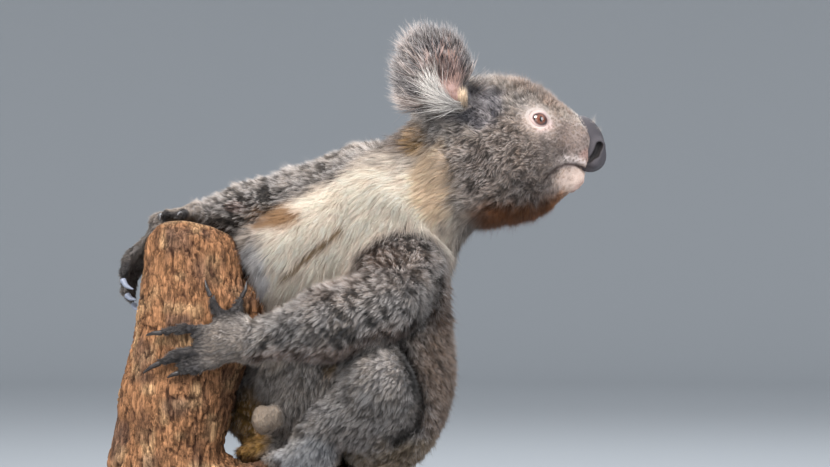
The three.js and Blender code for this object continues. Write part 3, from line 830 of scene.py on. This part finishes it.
STRAYS = 0.07                                 # share of the tufts that stand out of the coat
JAW = (16, 0, -57), (68, 62, 22)              # centre and radii of the longer fur under the jaw
CHIN_ROUND = (60, 0, -27), (36, 50, 19)       # and of the chin, whose short hairs are pale to the root
WARM = at(1.10, 1.0, 0.88)                    # the tint of the warmer patches


def unwrap(p, axis):
    """Places on an unrolled cylinder round a part's axis, from 0 to 1 each way."""
    a, b = axis
    along = unit(b - a)
    side = unit(np.cross(along, at(0.3, 1, 0.2)))
    up = np.cross(along, side)
    rel = p - a
    turn = np.arctan2(rel @ up, rel @ side) / (2 * np.pi) + 0.5
    height = rel @ along
    span = height.max() - height.min()
    return np.stack([turn, (height - height.min()) / max(span, 1e-6)], 1) * 0.98 + 0.01


def add_tufts(name, points, pattern, colours, places):
    """A joined mesh of like tufts with its paint and its OFBake map."""
    count, corners = points.shape[:2]
    faces = (pattern[None] + corners * np.arange(count)[:, None, None]).reshape(-1, 3)
    obj = make_object(name, points.reshape(-1, 3), faces)
    point_colours(obj, PAINT, np.clip(colours, 0, 0.93).reshape(-1, 3))
    rings = [(0.1, 0), (0.5, 0), (0.9, 0), (0.1, 0.5), (0.5, 0.5), (0.9, 0.5)][:corners - 1]
    in_patch = np.array(rings + [(0.5, 1)])
    uv = (places[:, None] + (in_patch - 0.5) * PATCH).reshape(-1, 2)
    layer = obj.data.uv_layers.new(name="OFBake")
    layer.data.foreach_set("uv", uv[faces.ravel()].astype(np.float32).ravel())
    obj.data.materials.append(FUR)
    return obj


def coat_size(shares, column):
    """One column of the coat's table, blended between the parts."""
    return sum(shares[k] * COAT[k][column] for k in COAT)


def coat_shape(p, n, q, shares, face, cream, jaw, reach, shadow, crossing):
    """Each tuft's length and width in millimetres, and its lift in degrees."""
    head, ear = shares["head"], shares["ear"]
    width = coat_size(shares, 2) * (0.6 + 0.4 * face)
    lift = coat_size(shares, 3) * (0.45 + 0.55 * face) * (1 - 0.4 * cream) * (1 + 0.4 * jaw)
    # on the ears: longer and flatter towards the rim
    rim = ramp(np.linalg.norm(q - EAR_BASE, axis=1), 14, 46)
    length = reach * (1 - ear) + ear * (7 + 9 * rim)
    lift = lift * (1 - ear) + ear * (34 - 16 * rim)
    length *= (0.75 + 0.5 * rng.random(len(p))) * (1 - 0.4 * shadow) * (1 - 0.25 * crossing)
    stray = rng.random(len(p)) > 1 - STRAYS
    length *= 1 + 0.6 * stray * face
    width *= (0.8 + 0.4 * rng.random(len(p))) * (1 - 0.3 * stray)
    lift *= 0.55 + 0.9 * rng.random(len(p))
    crown = head * ramp(n[:, 2], 0.35, 0.85)
    return length * (1 + 0.45 * crown), width, lift * (1 + 0.6 * crown)


def coat_tones(p, n, q, tips, lock, edge, shares, face, cream, jaw, shadow, ready):
    """The colours of each tuft's three root corners and its tip, with painted shade at the root, at a lock's
    edge, in the body's folds and in the coat's openings.
    """
    head, ear = shares["head"], shares["ear"]
    colour = coat_colour(p, n, shares)
    calm = (1 - 0.7 * cream) * (0.6 + 0.4 * face)
    lock_shade = 1 + (0.22 + 0.1 * head) * (rng.random(len(p))[lock] * 2 - 1) * calm
    own_shade = 1 + (0.28 + 0.20 * head) * (rng.random(len(p)) * 2 - 1) * calm
    warmth = (0.5 + 0.5 * noise(p, 13, 40.0)) * (1 - 0.85 * cream)
    tint = mix(np.ones((len(p), 3)), WARM, warmth)
    # painted shade: darker at a lock's edge, between the locks, and in the body's folds
    dark = (1 - (0.46 + 0.26 * head) * edge) * (1 - 0.85 * np.clip(crease(p) / 5, 0, 1))
    colour = colour * (lock_shade * own_shade * dark)[:, None] * tint
    tip_shadow = gap_share(tips, shares, ready)
    limbs = shares["upper_arm"] + shares["forearm"] + shares["thigh"] + shares["shin"]
    pale = (0.45 + 0.1 * head + 0.3 * limbs) * (1 - tip_shadow) * (1 - 0.7 * edge)
    pale = pale * (rng.random(len(p)) > 0.4) * (1 - cream) * (1 - 0.8 * ear) * (0.5 + 0.5 * face)
    pale = pale * (1 - 0.9 * jaw) * (1 - 0.7 * (shares["hand"] + shares["foot"]))
    bare = blob(q, *CHIN_ROUND) * head + cup_share(q) * ear + shares["scrotum"]
    # painted shade at the roots, deep in the coat; less where the coat is pale, thin or bare
    root_painted_shade = np.clip(0.34 + 0.6 * cream + 0.6 * np.square(1 - face) + 0.55 * bare, 0, 0.95)
    root = colour * (root_painted_shade * (1 - 0.8 * shadow))[:, None]
    tip = mix(colour * 1.15, TIP_PALE, pale) * (1 - 0.75 * tip_shadow)[:, None]
    return np.stack([root, root, root, tip], 1)


def part_coat(p, weights, points, pattern, shades):
    """Shares the tufts out among the coat's pieces, by the part of the body that each grows from."""
    nearest = np.array(FLESH)[np.argmax(np.stack([weights[m] for m in FLESH]), 0)]
    for name, (nodes, axis) in CHARTS.items():
        mine = np.flatnonzero(np.isin(nearest, nodes))
        places = unwrap(p[mine], axis)
        order = np.argsort(places[:, 1], kind="stable")
        groups = np.array_split(order, -(-len(order) // PIECE))
        for i, group in enumerate(groups):
            full = name if len(groups) == 1 else f"{name}_{i + 1}"
            some = mine[group]
            add_tufts(full, points[some], pattern, shades[some], places[group])
            print(full, len(some) * len(pattern), "triangles")


def grow_coat():
    """Every short tuft of the animal, drawn together into locks."""
    p, n = scatter(skin_points, skin_tris, tuft_density, TUFTS)
    weights = kind_weights(p, own)
    shares = kind_shares(weights)
    q = on_head(p.copy())
    head, ear = shares["head"], shares["ear"]
    face = np.where(head > 0.5, face_depth(p), 1)
    cream = cream_share(p, shares)
    jaw = blob(q, *JAW) * head
    furred = 1 - shares["scrotum"]
    lie = lie_of(p, n, weights)
    ready = readiness(shares, cream, face)
    shadow = gap_share(p, shares, ready)
    reach = coat_size(shares, 1) * (0.3 + 0.7 * face) * (1 + 0.35 * cream) * (1 + 0.7 * jaw)
    crossing = gap_share(p + lie * (0.6 * reach)[:, None], shares, ready)
    length, width, lift = coat_shape(p, n, q, shares, face, cream, jaw, reach, shadow, crossing)
    lock, off = gather(p, LOCK_TUFTS, 1 + 1.2 * head * face)
    edge = ramp(off / (4.0 - 1.4 * head), 0.25, 1.0) * (1 - ear) * (1 - 0.8 * cream) * face * furred
    paws = shares["hand"] + shares["foot"]
    drawn = 0.75 * (1 - 0.7 * ear) * (1 - 0.3 * paws) * (1 - 0.6 * cream) * furred
    pull = (p[lock] - p) * drawn[:, None]
    points, pattern = spikes(p, n, lie, length * (1 - 0.15 * edge), width, lift, pull)
    tips = points[:, 3]
    shades = coat_tones(p, n, q, tips, lock, edge, shares, face, cream, jaw, shadow, ready)
    part_coat(p, weights, points, pattern, shades)


def grow_ear_fringe():
    """The long bent hairs round each ear's edge and back: dark, gathered in rays, with pale ends."""
    centre = at(-61, 55, 66)
    for name, side in (("left", 1), ("right", -1)):
        q = (skin_points - HEAD) * at(1, side, 1)
        inside = (np.linalg.norm(q - centre, axis=1) < 48) & (q[:, 1] > 26) & (q[:, 2] > 36)
        out = np.linalg.norm((q - EAR_BASE) * at(1, 0.6, 1), axis=1)
        density = inside * ramp(out, 16, 40)
        density = density * (1 - 0.9 * cup_share(q))
        p, n = scatter(skin_points, skin_tris, density[skin_tris].mean(1), FRINGE)
        q = (p - HEAD) * at(1, side, 1)
        ray = unit((q - EAR_BASE) * at(1, 0.55, 1))
        angle = np.arctan2(ray[:, 2], ray[:, 0])
        comb = noise(np.stack([angle * 42, q[:, 1] * 0.5, np.zeros(len(p))], 1), 5.0, 8.0)
        lie = (ray + 0.22 * rng.normal(size=(len(p), 3)) * at(1, 1, 1) + at(0, 0.1, 0)) * at(1, side, 1)
        lie = unit(lie - 0.65 * n * np.sum(lie * n, 1, keepdims=True))
        length = (12 + 13 * rng.random(len(p))) * (1 + 0.3 * comb)
        width = 0.75 * (0.7 + 0.6 * rng.random(len(p)))
        lift = 16 + 14 * rng.random(len(p))
        points, pattern = curved_locks(p, n, lie, length, width, lift, 18)
        shade = mix(np.tile(DARK_FRINGE, (len(p), 1)), CHEEK, ramp(comb, 0, 0.8))
        shade = shade * (0.45 + 0.9 * rng.random((len(p), 1)))
        within = cup_share(q + 8 * ray)
        shade = mix(shade, CONCHA, 0.7 * within)
        tip = mix(shade, TIP_PALE, 0.2 + 0.6 * rng.random(len(p)))
        # painted shade at the roots: the root ring darker than the middle
        shades = np.stack([shade * 0.55] * 3 + [shade] * 3 + [tip], 1)
        add_tufts(f"ear_fringe_{name}", points, pattern, shades, unwrap(p, CHARTS["coat_ears"][1]))


def grow_ear_locks():
    """The long white hairs inside each ear, from its front edge back and up across the cup."""
    for name, side in (("left", 1), ("right", -1)):
        count = EAR_LOCKS
        cream = np.arange(count) < count // 8       # the short upright tuft at the cup's front edge
        fan = rng.random(count)
        spread = rng.normal(size=(count, 3)) * at(2.2, 1.5, 2.2)
        start = at(-38, 63, 38) + fan[:, None] * at(-26, 5, 12) + spread
        aim = at(-1, 0.25, 0.12) + np.outer(fan, at(0.5, 0.1, 0.8)) + rng.normal(size=(count, 3)) * 0.24
        start = np.where(cream[:, None], at(-36, 60, 42) + spread, start)
        aim = unit(np.where(cream[:, None], at(-0.05, 0.35, 1) + rng.normal(size=(count, 3)) * 0.1, aim))
        flip = at(1, side, 1)
        root, lie = HEAD + start * flip, aim * flip
        normal = unit(np.cross(np.cross(lie, at(0, side, 0)), lie))
        length = np.where(cream, 12 + 6 * rng.random(count), 22 + 30 * rng.random(count) - 10 * fan)
        lift = 12 + 8 * rng.random(count)
        points, pattern = curved_locks(root, normal, lie, length, np.full(count, 0.46), lift, 22)
        shade = mix(np.tile(tone(246, 240, 234), (count, 1)), TAN, cream * 0.8)
        shade = shade * np.where(cream, 0.9, 0.45 + 0.6 * rng.random(count))[:, None]
        # painted shade toward the roots of the hairs, lighter toward the tips
        shades = np.repeat(shade[:, None], 7, 1) * np.array([0.45] * 3 + [0.85] * 3 + [1.1])[None, :, None]
        ear_axis = CHARTS["coat_ears"][1]
        add_tufts(f"ear_locks_{name}", points, pattern, shades, unwrap(root, ear_axis))


def tuft_chance(shares):
    """Tufts per square millimetre at each skin point."""
    density = coat_size(shares, 4)
    q = on_head(skin_points.copy())
    lips = np.exp(-np.square(mouth_line(q) / 2.0)) * ramp(q[:, 0], 34, 46)
    eye = np.linalg.norm(q - EYE_SPOT, axis=1)
    smooth = 1 - 0.9 * blob(q, (62, 0, -27), (32, 46, 16))
    smooth = smooth * (1 - 0.85 * cup_share(q) * shares["ear"])
    smooth = np.where(shares["head"] + shares["ear"] > 0.5, smooth, 1)
    return density * (1 - lips) * ramp(eye, 11.5, 14) * smooth


skin_shares = paint_skin()
tuft_density = tuft_chance(skin_shares)[skin_tris].mean(1)
grow_coat()
grow_ear_fringe()
grow_ear_locks()


# ---------- smooth pieces over the CAD's faceted ones ----------
def fine_surface(field, low, high, voxel):
    """The surface of a distance function, meshed at its own fine step."""
    shape = tuple(np.ceil((high - low) / voxel).astype(int))
    axes = [low[i] + np.arange(shape[i]) * voxel for i in range(3)]
    values = field(np.stack(np.meshgrid(*axes, indexing="ij"), -1))
    points, quads = grid_surface(values, voxel, 3, (0, 0, 0))
    return points + low, quads


def nostril_hole(q):
    """The comma of the nostril, round above and drawn out to a slit below and behind."""
    round_part = limb(q, (93, 16, 4), (90, 18, -4), 3.4, 2.6)
    slit = limb(q, (90, 18, -4), (83, 19, -11), 2.4, 1.2)
    return join(round_part, slit, 2)


def nose_field(p):
    """The nose pad: a deep rounded shield, with nostrils and a groove below."""
    q = on_head(p.copy())
    upper = mass(q, at(78, 0, 7), (20.5, 20, 24), (0, -20, 0))
    body = join(upper, mass(q, at(87, 0, -8), (12.5, 17, 12)), 10)
    body = join(body, mass(q, at(74, 0, 18), (14, 21, 14)), 8)
    nostril = nostril_hole(q)
    rim = limb(q, (92, 12, 4), (88, 14, -12), 7.0, 5.5)
    groove = limb(q, (102, 0, -6), (92, 0, -22), 1.0, 1.2)
    return carve(carve(join(body, rim, 5), nostril, 2.5), groove, 2.5)


def make_nose():
    spot = HEAD + at(84, 0, 2)
    points, quads = fine_surface(nose_field, spot - 34, spot + 34, 0.9)
    nose = make_object("nose_pad", points, quads)
    q = points - HEAD
    pink = ramp(-q[:, 0], -80, -66) * ramp(-q[:, 2], -4, 12)
    colour = mix(np.tile(tone(72, 68, 72), (len(points), 1)), tone(150, 112, 104), 0.8 * pink)
    # painted shade inside the nostril: near black in the hole
    painted_nostril_shade = np.exp(-np.square(np.maximum(nostril_hole(on_head(points.copy())), 0) / 1.2))
    colour = mix(colour, tone(20, 15, 15), 0.9 * painted_nostril_shade)
    point_colours(nose, PAINT, colour)
    nose.data.materials.append(painted("nose_leather", 0.66, 1700, 0.18, bump=0.5, specular=0.3))
    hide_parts("nose")


def eye_frame(side):
    """Centre, gaze, and the eye's own right and up."""
    centre = HEAD + EYE_SPOT * at(1, side, 1)
    gaze = unit(at(0.3, side * 0.94, 0.12))
    along = unit(np.cross(at(0, 0, 1), gaze) * side)
    return centre, gaze, along, np.cross(gaze, along) * side


def ring_squares(rings, turns):
    """The squares between rings of points, each ring joined to the next."""
    ring, i = np.divmod(np.arange((rings - 1) * turns), turns)
    here, there = ring * turns, (ring + 1) * turns
    j = (i + 1) % turns
    return np.stack([here + i, here + j, there + j, there + i], 1)


def dome(centre, gaze, along, up, rings, turns, shape):
    """Points and squares of rings round the gaze; shape gives polar angle and radius from ring and turn."""
    t = np.linspace(0, 1, rings)[:, None]
    a = np.arange(turns)[None] * 2 * np.pi / turns
    polar, radius = shape(t, a)
    polar, radius, a = np.broadcast_arrays(polar, radius, a)
    away = np.cos(a)[..., None] * along + np.sin(a)[..., None] * up
    points = centre + radius[..., None] * (np.cos(polar)[..., None] * gaze + np.sin(polar)[..., None] * away)
    return points.reshape(-1, 3), ring_squares(rings, turns)


LID_OPEN = np.radians([40, 30])    # half the opening, along and across, seen from the eye's centre
LID_TILT = np.radians(24)          # how far the front corner of the lids lies below the back one


def make_eye(name, side):
    """The eyeball with its brown iris, upright pupil and clear bulge."""
    frame_of_eye = eye_frame(side)
    bulge = lambda t, a: (0.002 + t * np.pi * 0.98, 9.3 + 0.5 * np.exp(-np.square(t * 5)))
    points, quads = dome(*frame_of_eye, 90, 96, bulge)
    eye = make_object(f"eyeball_{name}", points, quads[:, ::side])
    centre, gaze, along, up = frame_of_eye
    rel = unit(points - centre)
    x, z = rel @ along, rel @ up
    front = rel @ gaze > 0
    from_axis = np.hypot(x, z)
    streak = 0.5 + 0.5 * np.sin(np.arctan2(z, x) * 37 + 3 * np.sin(np.arctan2(z, x) * 11))
    iris = mix(np.tile(tone(112, 62, 42), (len(points), 1)), tone(76, 40, 28), 0.7 * streak)
    iris = mix(iris, tone(38, 20, 16), ramp(from_axis, 0.42, 0.6))
    colour = mix(iris, tone(40, 28, 26), ramp(from_axis, 0.6, 0.68))
    pupil = 1 - ramp(np.hypot(x / 0.15, z / 0.30), 0.85, 1.1)
    colour = mix(colour, tone(6, 4, 4), pupil * front)
    point_colours(eye, PAINT, colour)
    eye.data.materials.append(painted("eye_wet", 0.06, 2600, 0.1, coat=1.0))
    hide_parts(f"eye_{name}")


def make_lids(name, side):
    """The bare rims round the eye: an almond ring that rolls over the eyeball and sinks under the coat."""
    wide, tall = LID_OPEN

    def roll(t, a):
        a = a - LID_TILT
        edge = 1 / np.sqrt(np.square(np.cos(a) / wide) + np.square(np.sin(a) / tall))
        corner = 0.10 * np.exp(-np.square((np.abs(np.cos(a)) - 1) * 9))
        start = edge + corner
        radius = 9.3 + 1.1 * np.sin(np.clip(t * 4, 0, 1) * np.pi / 2) - 2.0 * ramp(t, 0.75, 1)
        return start + t * (1.45 - start), radius

    points, quads = dome(*eye_frame(side), 16, 72, roll)
    lids = make_object(f"eyelids_{name}", points, quads[:, ::side])
    share = np.repeat(np.linspace(0, 1, 16), 72)
    colour = mix(np.tile(tone(74, 42, 38), (len(points), 1)), EYE_PINK * 0.68, ramp(share, 0.04, 0.22))
    point_colours(lids, PAINT, colour)
    lids.data.materials.append(painted("lid_skin", 0.5, 2200, 0.12, bump=0.3))


def smooth_copy(nodes, voxel, times):
    """CAD nodes meshed again, rounded and joined."""
    all_points, all_quads, count = [], [], 0
    for n in nodes:
        made, quads = smoothed_mesh(bpy.data.objects[n], voxel, times, -0.1 * voxel)
        all_points.append(made)
        all_quads.append(quads + count)
        count += len(made)
    return np.vstack(all_points), np.vstack(all_quads)


def make_claws():
    """Each paw's claws: dark horn; on the far hand the lower claws carry a painted pale blue-grey highlight.
    """
    for paw in ("hand_left", "hand_right", "foot_left", "foot_right"):
        nodes = sorted(n for n in frame["nodes"] if n.startswith(f"claw_{paw}"))
        points, quads = smooth_copy(nodes, 0.7, 3)
        claws = make_object(f"claws_{paw}", points, quads)
        shade = 0.5 + 0.5 * noise(points, 3.0, 50.0)
        horn = mix(np.tile(tone(27, 23, 23), (len(points), 1)), tone(54, 48, 46), shade)
        # painted highlight: pale blue-grey on the far hand's claws below a height
        painted_highlight = float(paw == "hand_right") * ramp(-points[:, 2], -340, -330)
        horn = mix(horn, tone(134, 142, 160), 0.8 * painted_highlight)
        point_colours(claws, PAINT, horn)
        claws.data.materials.append(painted(f"horn_{paw}", 0.42, 1400, 0.2, bump=0.2, coat=0.08))
        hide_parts(*nodes)


# ---------- the tree fork ----------
BARK_STEP = 1.8
TRUNK_LOW, TRUNK_TOP = at(-178, 5, 84), at(-139, 5, 383)


def bark_relief(p):
    """Depth of the bark's cracks in millimetres: long fissures along the wood and short ones across."""
    warp = np.stack([noise(p, 22, 60.0), noise(p, 22, 63.0), noise(p, 26, 66.0)], 1) * 4
    branch = ramp(-p[:, 2], -150, -120) * ramp(p[:, 0], -120, -80)
    grain = (p + warp) * np.where(branch[:, None] > 0.5, at(0.22, 1, 1), at(1, 1, 0.22))
    fissures = 1 - np.abs(noise(grain, 5.0, 70.0))
    fine = 1 - np.abs(noise(grain, 2.9, 73.0))
    cross = 1 - np.abs(noise((p + warp) * at(0.5, 0.5, 1), 5.5, 76.0))
    patches = 0.5 + 0.5 * noise(p, 24, 80.0)
    deep = ramp(fissures, 0.74, 1.0) * 2.2 + ramp(fine, 0.70, 1.0) * 1.3
    deep = deep + ramp(cross, 0.82, 1.0) * 1.4 * patches
    return deep * (0.6 + 0.6 * patches)


def bark_material():
    """Bark: the painted colour, broken by upright strands and dark flecks, with painted shade along fine
    cracks, and their relief.
    """
    mat, tree, shader = material("bark", 0.88, specular=0.15)
    strands = noise_node(tree, 420, 6.0, (1, 1, 0.16), 0.7)
    flecks = noise_node(tree, 190, 5.0, (1, 1, 0.45), 0.75)
    upright = [("Vector", place_node(tree, (1, 1, 0.2)), "Vector")]
    cracks = node(tree, "ShaderNodeTexVoronoi", upright, feature="DISTANCE_TO_EDGE", Scale=210)
    light = span_node(tree, strands, "Fac", 0.36, 0.64, 0.62, 1.34)
    dark = span_node(tree, flecks, "Fac", 0.42, 0.52, 0.45, 1.0)
    # painted shade along the fine cracks
    painted_crack_shade = span_node(tree, cracks, "Distance", 0.0, 0.09, 0.5, 1.0)
    half = node(tree, "ShaderNodeMath", [(0, light, "Result"), (1, dark, "Result")], operation="MULTIPLY")
    both = node(tree, "ShaderNodeMath", [(0, half, "Value"), (1, painted_crack_shade, "Result")], operation="MULTIPLY")
    paint_node(tree, shader, both, "Value")
    bump_node(tree, shader, both, "Value", 0.9, 1.6)
    return mat


def make_perch():
    """The tree fork: the CAD's shape with cracked bark, and paler sawn ends."""
    points, quads = smoothed_mesh(bpy.data.objects["perch"], BARK_STEP, 3)
    perch = make_object("perch_bark", points, quads)
    normals = vertex_values(perch, "normal")
    foot = ramp(-normals[:, 2], 0.8, 0.95) * (points[:, 2] < 90)
    end = ramp(normals[:, 0], 0.8, 0.95) * (points[:, 0] > 112)
    top = ramp(normals[:, 2], 0.75, 0.9) * (points[:, 2] > 366)
    cut = np.clip(foot + end + top, 0, 1)
    deep = bark_relief(points) * (1 - 0.9 * cut)
    move_vertices(perch, points - normals * deep[:, None])
    shade = np.tile(tone(172, 124, 88), (len(points), 1))
    shade = mix(shade, tone(206, 164, 122), ramp(noise(points, 15, 90.0), 0, 0.7))
    shade = mix(shade, tone(122, 88, 66), ramp(noise(points * at(1, 1, 0.5), 9, 93.0), 0.0, 0.6) * 0.8)
    shade = mix(shade, tone(98, 80, 72), ramp(noise(points, 26, 96.0), 0.05, 0.6) * 0.6)
    # painted shade deep in the cracks
    shade = mix(shade, tone(64, 40, 32), ramp(deep, 0.9, 2.6) * 0.8)
    shade = mix(shade, tone(168, 134, 102), cut * 0.85)
    point_colours(perch, PAINT, shade)
    perch.data.materials.append(bark_material())
    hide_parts("perch")


# ---------- the stand ----------
def make_stand():
    """The CAD's base and rods, with a satin board and brushed metal."""
    board, tree, shader, grains = two_toned(
        "board", 0.45, (14, 6.0, (1, 9, 1)), (tone(58, 46, 40), tone(92, 72, 60)), coat=0.1)
    bump_node(tree, shader, grains, "Fac", 0.25, 0.5)
    metal, tree, shader, grains = two_toned(
        "brushed_rod", 0.35, (260, 3.0, (1, 1, 0.05)), (tone(120, 120, 122), tone(176, 176, 178)))
    shader.inputs["Metallic"].default_value = 1.0
    for name, finish in (("stand_base", board), ("stand_rod_trunk", metal), ("stand_rod_branch", metal)):
        for slot in bpy.data.objects[name].material_slots:
            slot.material = finish


make_nose()
for eye_name in ("left", "right"):
    eye_side = 1 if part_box(f"eye_{eye_name}")[0].y > 0 else -1
    make_eye(eye_name, eye_side)
    make_lids(eye_name, eye_side)
make_claws()
make_perch()
make_stand()


# ---------- floor, light and camera ----------
CAMERA = at(70, -3200, 370)
FRAME_WIDTH = 788.5            # of the view at the animal's middle plane
SENSOR = 36.0


def make_studio():
    """A round pale floor that curves up into a wall all the way round."""
    profile = [(5.0, 0), (5.2, 0)]
    profile += [(5.2 + 1.6 * np.sin(a), 1.6 - 1.6 * np.cos(a)) for a in np.linspace(0.1, np.pi / 2, 14)]
    profile += [(6.8, 3.4)]
    turns = 96
    ring = np.arange(turns) * 2 * np.pi / turns
    r, z = np.array(profile).T
    around = [np.outer(r, np.cos(ring)), np.outer(r, np.sin(ring)), np.outer(z, np.ones(turns))]
    points = np.stack(around, -1)
    quads = ring_squares(len(profile), turns)[:, [0, 3, 2, 1]]
    mesh = bpy.data.meshes.new("floor")
    disc = [tuple(range(turns))]
    mesh.from_pydata([tuple(v) for v in points.reshape(-1, 3)], [], quads.tolist() + disc)
    for face in mesh.polygons:
        face.use_smooth = True
    floor = bpy.data.objects.new("floor", mesh)
    bpy.context.scene.collection.objects.link(floor)
    pale, tree, shader = material("pale_floor", 0.9, specular=0.1)
    shader.inputs["Base Color"].default_value = (0.31, 0.33, 0.35, 1)
    mesh.materials.append(pale)


def area_light(name, place, target, size, watts, colour=(1, 1, 1)):
    lamp = bpy.data.lights.new(name, "AREA")
    lamp.shape = "DISK"
    lamp.size = size
    lamp.energy = watts
    lamp.color = colour
    obj = bpy.data.objects.new(name, lamp)
    obj.location = place
    obj.rotation_euler = (Vector(target) - Vector(place)).to_track_quat("-Z", "Y").to_euler()
    bpy.context.scene.collection.objects.link(obj)


def make_camera():
    data = bpy.data.cameras.new("camera")
    data.sensor_width = SENSOR
    data.lens = SENSOR * -CAMERA[1] / FRAME_WIDTH
    data.clip_end = 60
    camera = bpy.data.objects.new("camera", data)
    camera.location = CAMERA * MM
    camera.rotation_euler = (np.pi / 2, 0, 0)
    bpy.context.scene.collection.objects.link(camera)
    bpy.context.scene.camera = camera


for leftover in ("Cube", "Light", "Camera"):
    if leftover in bpy.data.objects:
        bpy.data.objects.remove(bpy.data.objects[leftover])
make_camera()
make_studio()
area_light("key", (-1.3, -1.9, 2.5), (0, 0, 0.35), 1.8, 160, (1, 0.97, 0.94))
area_light("fill", (2.4, -1.6, 1.2), (0, 0, 0.35), 2.0, 62, (0.97, 0.98, 1))
area_light("low", (-0.9, -2.4, 0.5), (0, 0, 0.25), 1.6, 16, (1, 0.98, 0.96))
area_light("back", (0.4, 2.2, 2.2), (0, 0, 0.4), 1.6, 36, (0.95, 0.97, 1))
world = bpy.data.worlds.new("studio")
world.use_nodes = True
world.node_tree.nodes["Background"].inputs["Color"].default_value = (0.92, 0.95, 1.0, 1)
world.node_tree.nodes["Background"].inputs["Strength"].default_value = 1.05
bpy.context.scene.world = world
bpy.context.scene.view_settings.view_transform = "Standard"
